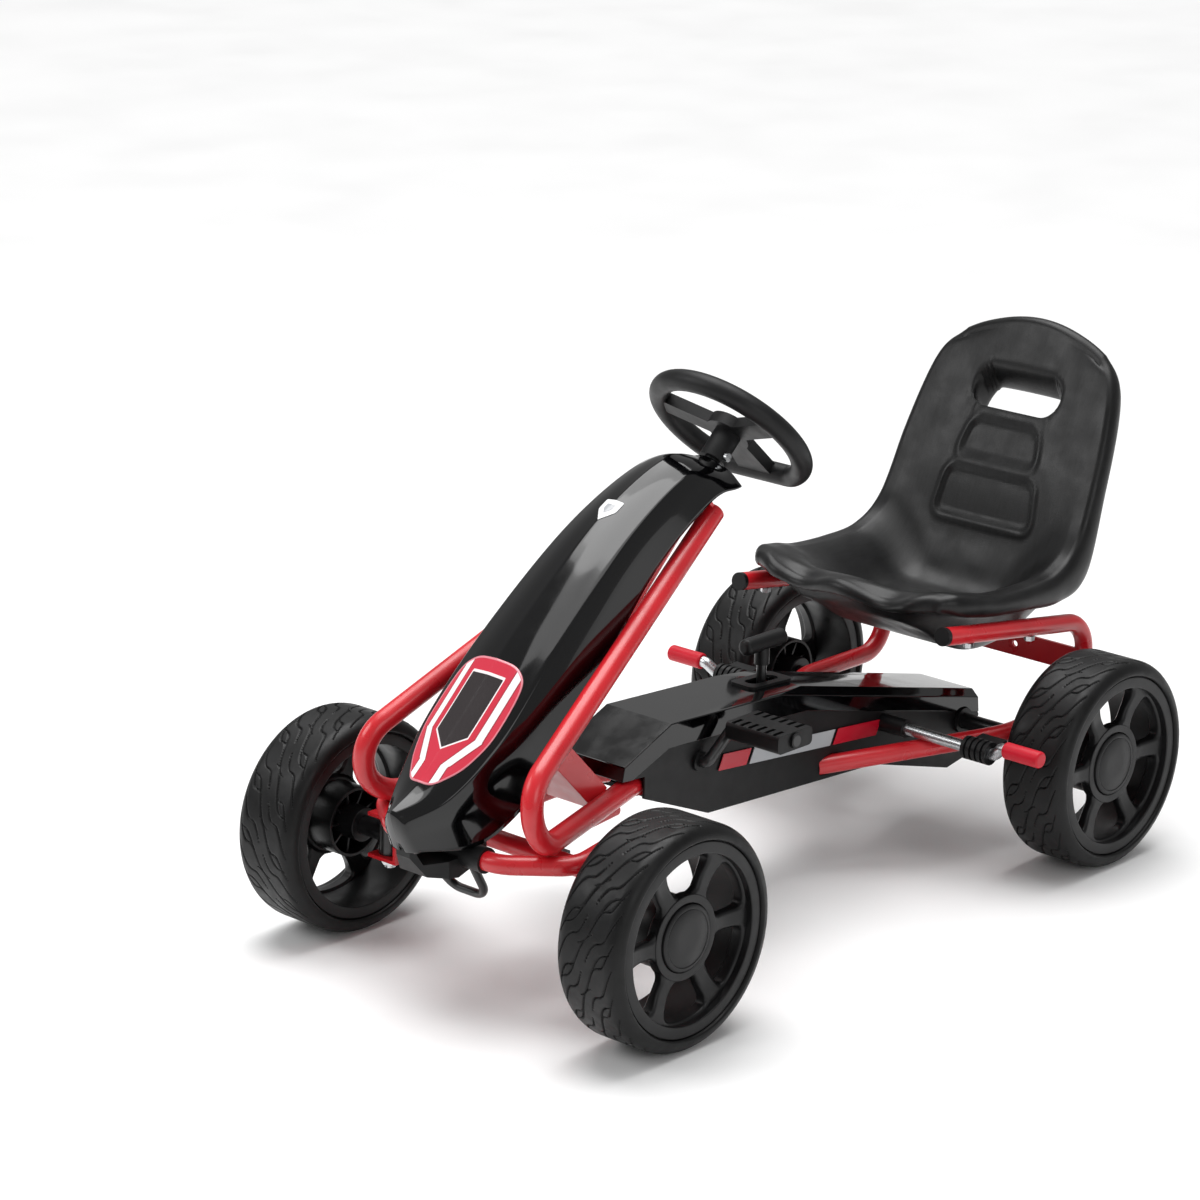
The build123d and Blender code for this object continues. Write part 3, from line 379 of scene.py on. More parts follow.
def tyre(name, centre, side, body, replaced):
    """A profile (radius, width) turned about the axle, cut by S-shaped sipes that
    repeat round the tread, each a groove along a curve whose width swells and dies away."""
    half = TYRE_HALF
    bend = np.linspace(0, pi / 2, 26)
    shoulder_r = TYRE_R - 15.5 + 15.5 * np.sin(bend)
    shoulder_w = half - 17 + 17 * np.cos(bend)
    tread_w = np.linspace(half - 17, 17 - half, 44)[1:-1]
    crown = np.full(tread_w.shape, TYRE_R)
    r = np.concatenate([[BARREL_R + 4, RIM_R + 0.4, RIM_R + 1.4], shoulder_r, crown, shoulder_r[::-1],
                        [RIM_R + 1.4, RIM_R + 0.4, BARREL_R + 4]])
    w = np.concatenate([[half - 6, half - 6, half - 1.6], shoulder_w, tread_w, -shoulder_w[::-1],
                        [1.6 - half, 6 - half, 6 - half]])
    angle = np.linspace(0, 2 * pi, AROUND_TYRE, endpoint=False)[:, None]
    s = angle * TYRE_R
    cut = np.zeros((AROUND_TYRE, len(r)))
    pitch = 2 * pi * TYRE_R / SIPE_REPEATS
    for way in (1, -1):
        across = w[None, :] * way
        for offset, w0, w1, lean, curl, width in SIPES:
            t = np.clip((across - w0) / (w1 - w0), 0, 1)
            curve = lean * t + curl * np.sin(2.3 * pi * t) + pitch * (offset + SIPE_SHIFT * (way < 0))
            away = (s - way * curve + pitch / 2) % pitch - pitch / 2
            slope = (lean + curl * 2.3 * pi * np.cos(2.3 * pi * t)) / (w1 - w0)
            inside = (across > w0) & (across < w1)
            swell = width * np.sin(pi * t) ** 0.45
            sipe = groove(away / np.sqrt(1 + slope**2), swell, SIPE_DEPTH)
            cut = np.maximum(cut, np.where(inside, sipe, 0))
    radius = r[None, :] - cut * np.clip((r[None, :] - 112) / 6, 0, 1)
    points = np.stack([centre[0] + np.cos(angle) * radius * MM,
                       centre[1] + side * (w[None, :] + 0 * angle) * MM,
                       centre[2] + np.sin(angle) * radius * MM], -1)
    return mesh_piece(name, points, grid_faces(AROUND_TYRE, len(r), True, True), tyre_foam, body, replaced,
                      "eva_tyre", smooth=50)


def rounded_profile(corners, radius, count=5):
    """A closed profile with each corner turned by an arc of the given radius."""
    corners = np.array(corners, float)
    out = []
    for k, corner in enumerate(corners):
        before, after = corners[k - 1] - corner, corners[(k + 1) % len(corners)] - corner
        reach = min(radius, 0.45 * np.linalg.norm(before), 0.45 * np.linalg.norm(after))
        a = corner + before / np.linalg.norm(before) * reach
        b = corner + after / np.linalg.norm(after) * reach
        t = np.linspace(0, 1, count)[:, None]
        out.append((1 - t) ** 2 * a + 2 * t * (1 - t) * corner + t**2 * b)
    return np.vstack(out)


SPOKES, SPOKE_HALF, HUB_RIBS = 6, 10.5, 9
WINDOW_R, WINDOW_LOW, WINDOW_HIGH, WINDOW_POWER = 72.0, 47.0, 92.0, 5.0
FAR = 1e3  # an edge that a direction never meets


def sector_edges(turn, spoke_half, low, high):
    """Distances from a window's middle, in each direction, to the flanks of the two spokes
    beside it and to an inner and an outer circle about the axle."""
    x, y = np.cos(turn), np.sin(turn)
    lean = pi / SPOKES
    space = WINDOW_R * sin(lean) - spoke_half
    edges = []
    for way in (1, -1):
        towards = way * y * cos(lean) - x * sin(lean)
        edges.append(np.where(towards > 1e-6, space / np.maximum(towards, 1e-6), FAR))
    along = WINDOW_R * x
    outer = along**2 - WINDOW_R**2 + high**2
    inner = along**2 - WINDOW_R**2 + low**2
    edges.append(np.sqrt(np.maximum(outer, 0)) - along)
    edges.append(np.where((inner > 0) & (x < 0), -along - np.sqrt(np.maximum(inner, 0)), FAR))
    return edges


def window_outline(turn):
    """Distance from a window's middle to its edge in each direction: the sector's four
    edges combined by a power mean, which turns the outline's corners."""
    edges = sector_edges(turn, SPOKE_HALF, WINDOW_LOW, WINDOW_HIGH)
    return np.sum([np.maximum(edge, 1) ** -WINDOW_POWER for edge in edges], 0) ** (-1 / WINDOW_POWER)


def spoke_face(radius, edge):
    """Outer face of the spokes: a shallow dish that rises from hub to rim and sags a little
    between them, rolled over by a quarter ellipse within 5 mm of a window's edge."""
    dish = 30.5 + 3.5 * step(62, 95, radius) - 1.6 * np.sin(pi * np.clip((radius - 44) / 50, 0, 1))
    rolled_in = 1 - np.clip(edge / 5.0, 0, 1)
    return dish - 4.5 * (1 - np.sqrt(np.clip(1 - rolled_in**2, 0, 1)))


def rim(name, centre, side, body, replaced):
    """A turned barrel with rolled lips, a turned hub, and six sectors of disc, each a grid
    that runs from one window's edge out to the sector's edge."""
    lip = rounded_profile([(BARREL_R, RIM_HALF), (BARREL_R, -RIM_HALF), (RIM_R, -RIM_HALF),
                           (RIM_R, 7 - RIM_HALF), (BARREL_R + 5, 8 - RIM_HALF), (BARREL_R + 5, RIM_HALF - 8),
                           (RIM_R, RIM_HALF - 7), (RIM_R, RIM_HALF)], 1.6)
    parts = [turned(lip, centre, side, 120)]
    hub = rounded_profile([(38.4, 31), (38.4, 24), (8.6, 24), (8.6, -36), (20, -36), (20, 12), (44, 14),
                           (48, 18), (48, 31)], 1.2)
    parts.append(turned(hub, centre, side, 96))
    inner_ring = rounded_profile([(37, -22), (41, -22), (41, 18), (37, 18)], 1.0)
    parts.append(turned(inner_ring, centre, side, 96))
    # sectors
    turn = np.linspace(0, 2 * pi, 96, endpoint=False)
    lean = pi / SPOKES
    x, y = np.cos(turn), np.sin(turn)
    inner = window_outline(turn)
    outer = np.minimum(np.min(sector_edges(turn, 0, 42, BARREL_R + 2), 0), 90)
    steps = np.concatenate([[0, 0.4, 1.0, 1.8, 3.0, 4.4], np.linspace(6, 100, 5)])
    front = []
    for d in steps:
        share = np.clip(d / np.maximum(outer - inner, 0.1), 0, 1) if d < 100 else np.ones_like(turn)
        front.append(inner + (outer - inner) * share)
    front = np.array(front)
    px, py = WINDOW_R + front * x, front * y
    radius = np.hypot(px, py)
    face = spoke_face(radius, front - inner)
    back = np.full(face.shape, 17.0) + 2.5 * (1 - np.clip((front - inner) / 3, 0, 1))
    ring_r = np.concatenate([front[::-1], front])
    ring_w = np.concatenate([back[::-1], face])
    for k in range(SPOKES):
        spin = 2 * pi * k / SPOKES + lean
        sx, sy = WINDOW_R + ring_r * x, ring_r * y
        gx = sx * cos(spin) - sy * sin(spin)
        gz = sx * sin(spin) + sy * cos(spin)
        points = np.stack([centre[0] + gx * MM, centre[1] + side * ring_w * MM, centre[2] + gz * MM], -1)
        parts.append((points.reshape(-1, 3), grid_faces(len(ring_r), len(turn), False, True)))
    # ribs behind the disc
    for k in range(HUB_RIBS):
        spin = 2 * pi * k / HUB_RIBS
        box = np.array([(a, b, c) for a in (19, 38.5) for b in (-14, 17) for c in (-1.3, 1.3)])
        gx = box[:, 0] * cos(spin) - box[:, 2] * sin(spin)
        gz = box[:, 0] * sin(spin) + box[:, 2] * cos(spin)
        points = np.stack([centre[0] + gx * MM, centre[1] + side * box[:, 1] * MM, centre[2] + gz * MM], -1)
        parts.append((points, [(0, 1, 3, 2), (4, 6, 7, 5), (0, 4, 5, 1), (2, 3, 7, 6), (0, 2, 6, 4),
                               (1, 5, 7, 3)]))
    return mesh_piece(name, *joined(*parts), wheel_pp, body, replaced, "wheel_plastic", smooth=40)


def cap(name, centre, side, body, replaced):
    """A turned disc with a soft edge and a shallow ring groove."""
    profile = [(0.01, 33.6), (14, 33.8), (31, 33.8), (32, 33.2), (33, 33.8), (35.5, 33.6), (37.2, 32.6),
               (37.9, 30.8), (37.9, 26.2), (16, 26.2), (15.8, 31), (0.01, 31)]
    points, faces = turned(profile, centre, side, 96, wrap=False)
    return mesh_piece(name, points, faces, wheel_pp, body, replaced, "wheel_plastic", smooth=35)


FRONT_AXLE_X, REAR_AXLE_X, TRACK_HALF = 409, -361, 245
for corner, body, tyre_node, rim_node, cap_node, axle_x, wheel_side in (
        ("front_left", "front_wheel_left", "tyre_front_left", "rim_front_left", "hub_cap_front_left",
         FRONT_AXLE_X, 1),
        ("front_right", "front_wheel_right", "tyre_front_right", "rim_front_right", "hub_cap_front_right",
         FRONT_AXLE_X, -1),
        ("rear_left", "rear_axle", "tyres_rear", "rims_rear", "hub_caps_rear", REAR_AXLE_X, 1),
        ("rear_right", "rear_axle", "tyres_rear", "rims_rear", "hub_caps_rear", REAR_AXLE_X, -1)):
    wheel_at = (axle_x * MM, wheel_side * TRACK_HALF * MM, TYRE_R * MM)
    tyre("tyre_" + corner + "_treaded", wheel_at, wheel_side, body, [tyre_node])
    rim("rim_" + corner + "_spoked", wheel_at, wheel_side, body, [rim_node])
    cap("hub_cap_" + corner + "_turned", wheel_at, wheel_side, body, [cap_node])

# ---- nose cover ---------------------------------------------------------------------
# x and z of the crown, tilt, half widths at the crown's edge and the lower edge, depth
COVER_STATIONS = [
    (80, 538, 26, 30, 46, 34), (146, 547, 30, 36, 50, 52), (256, 497, 34, 45, 55, 66),
    (377, 405, 42, 54, 67, 80), (471, 318, 46, 57, 74, 86), (532, 264, 36, 40, 55, 82),
    (574, 241, 26, 14, 22, 52),
]
CROWN_DROP, COVER_WALL = 12.0, 3


def open_arcs(corners, radii, count=6):
    """An open line through corners, each turned by an arc of its own radius, with
    straight stretches divided so that every line has the same number of points."""
    corners = np.array(corners, float)
    out = [corners[:1]]
    for k in range(1, len(corners) - 1):
        before, after = corners[k - 1] - corners[k], corners[k + 1] - corners[k]
        reach = min(radii[k - 1], 0.45 * np.linalg.norm(before), 0.45 * np.linalg.norm(after))
        a = corners[k] + before / np.linalg.norm(before) * reach
        b = corners[k] + after / np.linalg.norm(after) * reach
        run = np.linspace(0, 1, 8)[1:-1, None]
        out.append(out[-1][-1] + (a - out[-1][-1]) * run)
        t = np.linspace(0, 1, count)[:, None]
        out.append((1 - t) ** 2 * a + 2 * t * (1 - t) * corners[k] + t**2 * b)
    run = np.linspace(0, 1, 8)[1:, None]
    out.append(out[-1][-1] + (corners[-1] - out[-1][-1]) * run)
    return np.vstack(out)


def cover_section(row):
    """Across and down offsets of the cover's section: a softly crowned top between two
    creases, and sides that fall to a second, gentle crease and then in a little."""
    half_top, half_low, depth = row[3:6]
    shoulder = half_top + 0.36 * (half_low - half_top) + 1.8
    half = open_arcs([(half_low, -depth), (shoulder, -CROWN_DROP - 0.3 * (depth - CROWN_DROP)),
                      (half_top, -CROWN_DROP), (0.5 * half_top, -0.28 * CROWN_DROP), (0, 0)], [14, 3.5, 14])
    half = np.vstack([half[:-1], [(0, -0.1)]])
    return np.vstack([half, half[::-1][1:] * (-1, 1)])


def cover_surface(count):
    """The cover's outer surface: sections carried along a smooth line of stations, with
    the front end rolled over into a beak and the top end rolled in."""
    rows = through(COVER_STATIONS, count)
    loops = []
    for row in rows:
        tilt = radians(row[2])
        section = cover_section(row)
        x = row[0] + section[:, 1] * sin(tilt)
        z = row[1] + section[:, 1] * cos(tilt)
        loops.append(np.stack([x, section[:, 0], z], -1))
    loops = np.array(loops)
    # ends roll over towards the middle of their lower edge
    def rolled(loop, along, reach, turns):
        """Copies of an end section that shrink to its lower edge as they move along."""
        low = (loop[0] + loop[-1]) / 2
        out = []
        for k in range(1, turns + 1):
            a = 0.5 * pi * k / turns
            shrink = cos(a) * 0.86 + 0.14
            out.append(low + (loop - low) * shrink + along * reach * sin(a))
        return out
    tilt = radians(rows[-1][2])
    front = rolled(loops[-1], np.array([cos(tilt), 0, -sin(tilt)]), 7.0, 8)
    tilt = radians(rows[0][2])
    back = rolled(loops[0], np.array([-cos(tilt), 0, sin(tilt)]), 9.0, 7)
    return np.array(back[::-1] + list(loops) + front)


cover_grid = cover_surface(90)
nose_cover = mesh_piece("nose_cover_moulded", cover_grid * MM, grid_faces(*cover_grid.shape[:2]), cover_abs,
                        "frame", ["nose_cover"], "gloss_black_plastic", smooth=38)
add_modifier(nose_cover, "SOLIDIFY", thickness=COVER_WALL * MM, offset=-1)


# ---- badge --------------------------------------------------------------------------
BADGE_AT, BADGE_NORMAL = Vector((0.474, 0, 0.318)), Vector((0.70, 0, 0.714)).normalized()
BADGE_OUTLINE = [(0, 84), (30, 84), (46, 70), (50, 50), (50, -10), (38, -50), (16, -80), (0, -80)]


def laid_on(name, target, at, normal, right, outline, lift, thickness, material, body, slot, replaced=()):
    """A thin panel laid on a surface: a polar grid from its middle to its outline, carried
    along the normal onto the target. Returns the piece and its plan in millimetres."""
    turn = np.linspace(0, 2 * pi, 240, endpoint=False)
    far = outline(turn)
    rings = np.concatenate([[0.03], np.linspace(0.06, 1.0, 44)])[:, None]
    px, py = np.sin(turn) * far * rings, np.cos(turn) * far * rings
    normal, right = Vector(normal).normalized(), Vector(right).normalized()
    up = normal.cross(right)
    points = []
    for a, b in zip(px.ravel(), py.ravel()):
        start = Vector(at) + right * a * MM + up * b * MM + normal * 0.08
        hit = target.ray_cast(start, -normal)[0]
        points.append(list(hit + normal * lift * MM))
    faces = grid_faces(*px.shape, False, True).tolist()
    faces.append(list(range(px.shape[1])))
    piece = mesh_piece(name, points, faces, material, body, replaced, slot, merge=False)
    bm = bmesh.new()
    bm.from_mesh(piece.data)
    bmesh.ops.recalc_face_normals(bm, faces=bm.faces)
    if sum((f.normal for f in bm.faces), Vector()).dot(normal) < 0:
        bmesh.ops.reverse_faces(bm, faces=bm.faces)
    bm.to_mesh(piece.data)
    bm.free()
    add_modifier(piece, "SOLIDIFY", thickness=thickness * MM, offset=-1)
    return piece, px, py, np.broadcast_to(rings, px.shape)


def badge():
    """The nose panel, with the values that its printed stripes read."""
    def outline(turn):
        """Distance from the badge's middle to its edge in each direction."""
        return 1 / outline_share(np.sin(turn), np.cos(turn))

    piece, x, y, share = laid_on("badge_panel_printed", cover_tree, BADGE_AT, BADGE_NORMAL, (0, 1, 0),
                                 outline, 0.9, 0.8, vinyl, "frame", "badge_print", ["badge_panel"])
    away = np.abs(x)
    panel = np.maximum.reduce([away / 24.0, (y - 8) / 58.0, (away * 0.9 - (y - 8)) / 44.0])
    bend = np.interp(y, [-52, -12], [10.0, 30.0])
    slope = np.where((y > -52) & (y < -12), 0.894, 1.0)
    stripe = np.clip(((away - bend) * slope + 8) / 40.0, 0, 0.999)
    for label, value in (("panel", panel), ("stripe", stripe), ("share", share)):
        attribute = piece.data.attributes.new(label, "FLOAT", "POINT")
        attribute.data.foreach_set("value", np.ascontiguousarray(value).ravel().astype(np.float32))


def outline_share(x, y):
    """The share of the way from the middle to the badge's outline, even on both sides. The
    edges are combined by a high power, which turns the outline's corners."""
    total = np.zeros(np.shape(x))
    points = np.array(BADGE_OUTLINE, float)
    for a, b in zip(points[:-1], points[1:]):
        edge = b - a
        normal = np.array([-edge[1], edge[0]])
        normal = normal if normal @ a > 0 else -normal
        total = total + np.maximum((np.abs(x) * normal[0] + y * normal[1]) / (normal @ a), 0) ** 24
    return total ** (1 / 24)


cover_tree = BVHTree.FromPolygons([Vector(p) for p in cover_grid.reshape(-1, 3) * MM],
                                  grid_faces(*cover_grid.shape[:2]).tolist())
badge()

# a plain shield near the top of the cover
SHIELD_AT, SHIELD_NORMAL = (0.236, 0, 0.508), (0.559, 0, 0.829)


def shield_outline(turn):
    """A shield: straight across the top, and two sides that curve in to a point."""
    x, y = np.sin(turn), np.cos(turn)
    top = np.maximum(y, 0) / 13.0
    sides = np.abs(x) / 12.5
    point = np.maximum(np.abs(x) / 15.0 - y / 20.0, 0)
    return 1 / (top**16 + sides**16 + point**16) ** (1 / 16)


laid_on("shield_plate", cover_tree, SHIELD_AT, SHIELD_NORMAL, (0, 1, 0), shield_outline, 0.7, 0.6,
        vinyl_white, "frame", "badge_print")
laid_on("shield_plate_inlay", cover_tree, SHIELD_AT, SHIELD_NORMAL, (0, 1, 0),
        lambda turn: 0.45 * shield_outline(turn), 0.95, 0.3, vinyl_grey, "frame", "badge_print")

# ---- seat ---------------------------------------------------------------------------
# x and z from the front lip to the top of the backrest: the inner skin at its edge and in
# the middle, the outer skin in the middle and at its edge, and the half width there
SEAT_RIM = [(-182, 338), (-205, 341), (-238, 337), (-275, 329), (-335, 326), (-396, 331), (-440, 362),
            (-478, 440), (-523, 540), (-544, 583)]
SEAT_MIDDLE = [(-178, 334), (-200, 335), (-240, 318), (-290, 297), (-345, 282), (-395, 279), (-434, 318),
               (-464, 405), (-512, 512), (-542, 583)]
SEAT_UNDER = [(-182, 316), (-200, 296), (-236, 276), (-292, 243), (-345, 232), (-404, 240), (-458, 272),
              (-497, 350), (-536, 468), (-563, 580)]
SEAT_EDGE_UNDER = [(-184, 318), (-205, 315), (-238, 309), (-275, 303), (-335, 297), (-400, 292), (-458, 312),
                   (-499, 412), (-543, 512), (-562, 582)]
SEAT_HALF = [(136,), (147,), (153,), (154,), (154,), (153,), (150,), (144,), (137,), (130,)]
SEAT_EDGE_ROLL = 10.5
# the top edge: the share of the profile where its arch begins, its fall and lean at the
# corners, and how much the width narrows
ARCH_FROM, ARCH_FALL, ARCH_LEAN, ARCH_NARROWS = 0.76, 27, 8, 0.24
SLOT_HALF_LONG, SLOT_HALF_HIGH, SLOT_Z, SLOT_LIP = 43.0, 18.0, 508.0, 7.0


def stadium(y, z, half_long, radius):
    """Signed distance to a slot with round ends."""
    return np.hypot(np.maximum(np.abs(y) - half_long, 0), z) - radius


def trapezoid(y, z, low_z, high_z, low_half, high_half, radius):
    """Signed distance, close enough for shaping, to a trapezoid with rounded corners."""
    half = low_half + (high_half - low_half) * (z - low_z) / (high_z - low_z)
    dy = np.abs(y) - half + radius
    dz = np.maximum(low_z + radius - z, z - high_z + radius)
    return np.hypot(np.maximum(dy, 0), np.maximum(dz, 0)) + np.minimum(np.maximum(dy, dz), 0) - radius


def seat_shell():
    """A moulded double shell. Its inner and outer skins are grids along the profile and
    across it; their edges, and the edges of the hand slot, are joined by rolled walls."""
    rows, cols = 170, 121
    u = np.linspace(0, 1, rows)[:, None]
    v = np.linspace(-1, 1, cols)[None, :]
    rim, middle = through(SEAT_RIM, rows), through(SEAT_MIDDLE, rows)
    under, edge_under = through(SEAT_UNDER, rows), through(SEAT_EDGE_UNDER, rows)
    near_top = np.clip((u - ARCH_FROM) / (1 - ARCH_FROM), 0, 1) ** 2
    half = through(SEAT_HALF, rows) * (1 - ARCH_NARROWS * near_top)
    away = np.abs(v)
    rise = np.clip(away / 0.9, 0, 1) ** 2.6 * 0.35 + step(0.38, 0.92, away) * 0.65
    inner = np.stack([middle[:, :1] + (rim[:, :1] - middle[:, :1]) * rise, half * v,
                      middle[:, 1:] + (rim[:, 1:] - middle[:, 1:]) * rise], -1)
    drop = step(0.52, 0.9, away)
    outer = np.stack([under[:, :1] + (edge_under[:, :1] - under[:, :1]) * drop, half * v,
                      under[:, 1:] + (edge_under[:, 1:] - under[:, 1:]) * drop], -1)
    # front edge: a hump in the middle and dips for the legs; top edge: a round arch
    front = 1 - step(0, 0.2, u)
    wave = 7 * np.cos(2 * pi * away / 0.95) - 3
    for skin, share in ((inner, 1.0), (outer, 0.5)):
        skin[..., 2] += front * wave * share
        skin[..., 0] += front * (5 * np.cos(2 * pi * away / 0.95) - 16 * step(0.72, 1.0, away))
    arch = near_top * away**2
    for skin in (inner, outer):
        skin[..., 2] -= ARCH_FALL * arch
        skin[..., 0] += ARCH_LEAN * arch
    # two pads sunk in the backrest, each with a raised border round it
    y, z = inner[..., 1], inner[..., 2]
    back = step(0.55, 0.62, u)
    for low_z, high_z, low_half, high_half in ((352, 412, 74, 66), (424, 470, 60, 50)):
        beyond = trapezoid(y, z, low_z, high_z, low_half, high_half, 14)
        sunk = (2.2 * (1 - step(-5, 0, beyond)) - 2.4 * np.exp(-((beyond - 2.5) / 3.5) ** 2)) * back
        inner[..., 0] -= sunk * 0.9
        inner[..., 2] -= sunk * 0.3
    # seat floor: a shallow thigh channel each side
    pan = step(0.12, 0.25, u) * (1 - step(0.4, 0.5, u))
    inner[..., 2] -= pan * 4 * np.exp(-((away - 0.42) / 0.16) ** 2)
    # the hand slot: cells inside it go, and their edge is drawn onto its outline
    gap = stadium(inner[..., 1], inner[..., 2] - SLOT_Z, SLOT_HALF_LONG, SLOT_HALF_HIGH + SLOT_LIP)
    hole = ((gap < 0) & (u > 0.6)).ravel()
    faces = grid_faces(rows, cols)
    kept = ~hole[faces].any(1)
    # edges of the kept cells that only one cell has
    edges = {}
    for face in faces[kept]:
        for a, b in zip(face, np.roll(face, -1)):
            key = (min(a, b), max(a, b))
            edges[key] = (a, b) if key not in edges else None
    border = {a: b for a, b in (e for e in edges.values() if e)}
    loops = []
    while border:
        first, at = next(iter(border.items()))
        loop = [first]
        del border[first]
        while at != first:
            loop.append(at)
            at = border.pop(at)
        loops.append(np.array(loop))
    loops.sort(key=len)
    slot_loop, edge_loop = loops[0], loops[-1]
    flat_inner, flat_outer = inner.reshape(-1, 3), outer.reshape(-1, 3)
    loop_y, loop_z = flat_inner[slot_loop, 1], flat_inner[slot_loop, 2] - SLOT_Z
    core_y = np.clip(loop_y, -SLOT_HALF_LONG, SLOT_HALF_LONG)
    way = np.stack([loop_y - core_y, loop_z], -1)
    way /= np.linalg.norm(way, axis=1)[:, None]
    target = np.stack([core_y, 0 * core_y], -1) + way * (SLOT_HALF_HIGH + SLOT_LIP)
    for skin in (flat_inner, flat_outer):
        skin[slot_loop, 2] += target[:, 1] - loop_z
        skin[slot_loop, 1] = target[:, 0]
    points = [flat_inner, flat_outer]
    count = rows * cols
    quads = faces[kept].tolist() + (faces[kept][:, ::-1] + count).tolist()
    start = 2 * count
    middle_of_seat = flat_inner[edge_loop].mean(0)

    def wall(loop, outward, bulge, turns=9):
        """Rows of a half ellipse that join the inner skin's edge to the outer skin's."""
        nonlocal start
        a, b = flat_inner[loop], flat_outer[loop]
        rows_of_wall = [loop.tolist()]
        for k in range(1, turns):
            t = pi * k / turns
            points.append((a + b) / 2 + (a - b) / 2 * cos(t) + outward * bulge * sin(t))
            rows_of_wall.append(list(range(start, start + len(loop))))
            start += len(loop)
        rows_of_wall.append((loop + count).tolist())
        for low, high in zip(rows_of_wall[:-1], rows_of_wall[1:]):
            for k in range(len(loop)):
                n = (k + 1) % len(loop)
                quads.append([low[k], high[k], high[n], low[n]])

    edge = flat_inner[edge_loop]
    along = np.roll(edge, -1, 0) - np.roll(edge, 1, 0)
    outward = np.cross(along, edge - flat_outer[edge_loop])
    outward /= np.linalg.norm(outward, axis=1)[:, None]
    if ((edge - middle_of_seat) * outward).sum() < 0:
        outward = -outward
    wall(edge_loop, outward, SEAT_EDGE_ROLL)
    inward = np.stack([0 * way[:, 0], -way[:, 0], -way[:, 1]], -1)
    wall(slot_loop, inward, SLOT_LIP)
    return np.vstack(points), quads


seat_points, seat_faces = seat_shell()
mesh_piece("seat_moulded", seat_points * MM, seat_faces, seat_plastic, "frame", ["seat"], "seat_plastic",
           smooth=60)

# ---- carried-over pieces with their corners rounded -----------------------------------
for node_name, width in (("case_lower", 1.6), ("nose_chin", 1.5), ("column_bracket", 0.8),
                         ("kingpin_yokes", 0.8), ("pedal_left", 0.8), ("pedal_right", 0.8),
                         ("case_top", 1.4), ("shift_grip", 1.5)):
    softened(node_name, nodes[node_name].data.materials[0], width)

# ---- stripes on the chain case -------------------------------------------------------
CASE_SIDE = 50.0
STRIPE_LOW = ((98.0, 178.0), (-190.0, 150.0))
STRIPE_HIGH, STRIPE_SLANT = 18.0, 9.0
STRIPE_SUNK, STRIPE_PROUD = 0.5, 0.35


def stripe_plate(name, start, end, material, side):
    """A slanting plate on the case's side, from start to end along the stripe."""
    (x0, z0), (x1, z1) = STRIPE_LOW
    corners = []
    for share, height in ((start, 0), (end, 0), (end, 1), (start, 1)):
        x = x0 + (x1 - x0) * share - STRIPE_SLANT * height
        corners.append((x, z0 + (z1 - z0) * share + STRIPE_HIGH * height))
    points = [(x * MM, side * y * MM, z * MM)
              for y in (CASE_SIDE - STRIPE_SUNK, CASE_SIDE + STRIPE_PROUD) for x, z in corners]
    faces = [(0, 1, 2, 3), (7, 6, 5, 4)] + [(k, (k + 1) % 4, (k + 1) % 4 + 4, k + 4) for k in range(4)]
    return mesh_piece(name, points, faces, material, "frame", slot="badge_print")


for side, label in ((1, "left"), (-1, "right")):
    stripe_plate("case_stripe_front_" + label, 0.0, 0.17, vinyl_red, side)
    stripe_plate("case_stripe_silver_" + label, 0.19, 0.70, vinyl_grey, side)
    stripe_plate("case_stripe_rear_" + label, 0.72, 1.0, vinyl_red, side)

# ---- steering wheel emblem -----------------------------------------------------------
steering_mesh = nodes["steering_wheel"].data
steering_tree = BVHTree.FromPolygons([v.co for v in steering_mesh.vertices],
                                     [tuple(p.vertices) for p in steering_mesh.polygons])
EMBLEM_AT, WHEEL_AXIS = (0.032, 0, 0.560), (-0.7221, 0, 0.6918)


def ellipse_outline(half_wide, half_high):
    """An ellipse's distance from its middle in each direction."""
    return lambda turn: 1 / np.sqrt((np.sin(turn) / half_wide) ** 2 + (np.cos(turn) / half_high) ** 2)


laid_on("wheel_emblem_ring", steering_tree, EMBLEM_AT, WHEEL_AXIS, (0, -1, 0), ellipse_outline(17, 13), 0.8,
        0.9, vinyl_grey, "steering", "badge_print")
laid_on("wheel_emblem_red", steering_tree, EMBLEM_AT, WHEEL_AXIS, (0, -1, 0), ellipse_outline(15, 11), 1.1,
        0.5, vinyl_red, "steering", "badge_print")

# ---- floor, light and camera --------------------------------------------------------
FLOOR_HALF = 14
floor_mesh = bpy.data.meshes.new("floor")
floor_mesh.from_pydata([(x * FLOOR_HALF, y * FLOOR_HALF, 0) for x, y in ((-1, -1), (1, -1), (1, 1), (-1, 1))],
                       [], [(0, 1, 2, 3)])
floor = bpy.data.objects.new("floor", floor_mesh)
bpy.context.scene.collection.objects.link(floor)
floor_paint, floor_tree, floor_shader, floor_place = new_material("floor_paint", "#fbfbfb", 0.55)
vary(floor_tree, floor_shader, "Roughness", grain(floor_tree, floor_place, 300), 0.45, 0.6)
floor_mesh.materials.append(floor_paint)

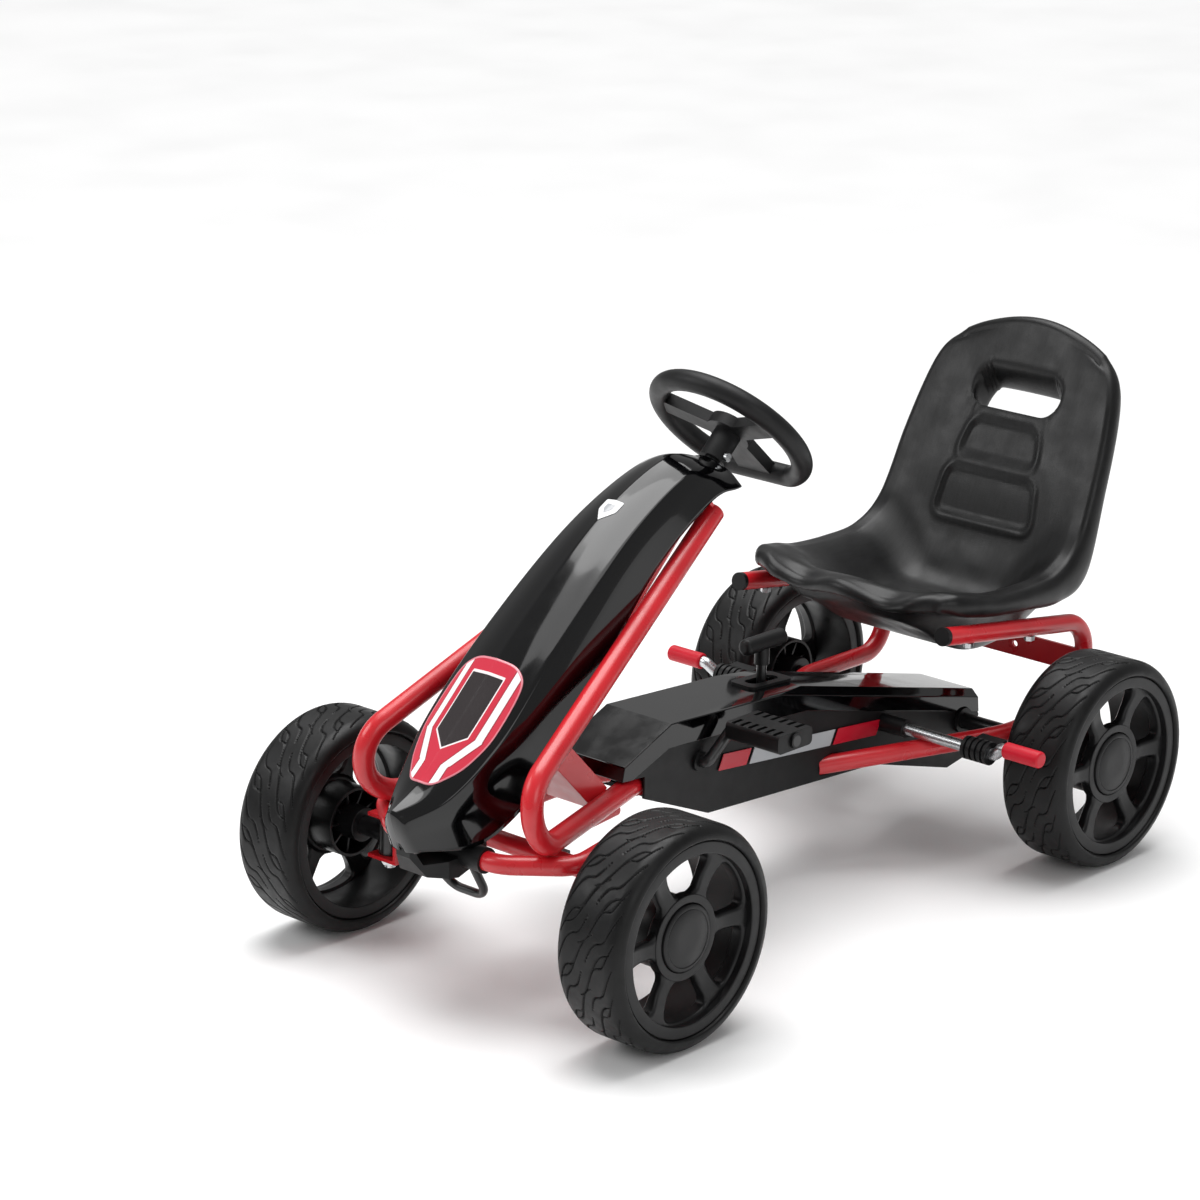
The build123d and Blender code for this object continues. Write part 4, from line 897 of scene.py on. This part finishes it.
world = bpy.data.worlds.new("studio")
bpy.context.scene.world = world
world.use_nodes = True
world.node_tree.nodes["Background"].inputs["Color"].default_value = colour("#ffffff")
world.node_tree.nodes["Background"].inputs["Strength"].default_value = 0.36
overhead = bpy.data.lights.new("overhead", "SUN")
overhead.energy, overhead.angle = 2.25, radians(50)
overhead_lamp = bpy.data.objects.new("overhead", overhead)
overhead_lamp.rotation_euler = (radians(14), radians(-12), 0)
bpy.context.scene.collection.objects.link(overhead_lamp)


def softbox(name, place, target, size, power):
    """A rectangular area light that faces a point."""
    light = bpy.data.lights.new(name, "AREA")
    light.shape, light.size, light.size_y, light.energy = "RECTANGLE", size[0], size[1], power
    lamp = bpy.data.objects.new(name, light)
    lamp.location = place
    lamp.rotation_euler = (Vector(target) - Vector(place)).to_track_quat("-Z", "Y").to_euler()
    bpy.context.scene.collection.objects.link(lamp)


softbox("top_softbox", (0.2, 0.1, 2.6), (0, 0, 0.2), (2.4, 1.6), 24)
softbox("key_softbox", (2.2, -1.6, 2.0), (0.1, 0, 0.3), (1.6, 1.2), 24)
softbox("fill_softbox", (1.2, 2.8, 1.5), (0.0, 0, 0.3), (1.6, 1.2), 12)

CAMERA_AT = Vector((3.4211, 2.8831, 1.7424))
CAMERA_AZ, CAMERA_EL, CAMERA_ROLL = radians(42.2602), radians(17.3292), radians(-0.833)
look = Vector((-cos(CAMERA_EL) * cos(CAMERA_AZ), -cos(CAMERA_EL) * sin(CAMERA_AZ), -sin(CAMERA_EL)))
right = look.cross(Vector((0, 0, 1))).normalized()
up = right.cross(look)
camera_right = right * cos(CAMERA_ROLL) - up * sin(CAMERA_ROLL)
camera_up = right * sin(CAMERA_ROLL) + up * cos(CAMERA_ROLL)
camera_data = bpy.data.cameras.new("camera")
camera_data.sensor_width, camera_data.lens = 36, 121.62
camera = bpy.data.objects.new("camera", camera_data)
turn_matrix = Matrix((camera_right, camera_up, -look)).transposed()
camera.matrix_world = Matrix.Translation(CAMERA_AT) @ turn_matrix.to_4x4()
bpy.context.scene.collection.objects.link(camera)
bpy.context.scene.camera = camera
bpy.context.scene.view_settings.view_transform = "Standard"
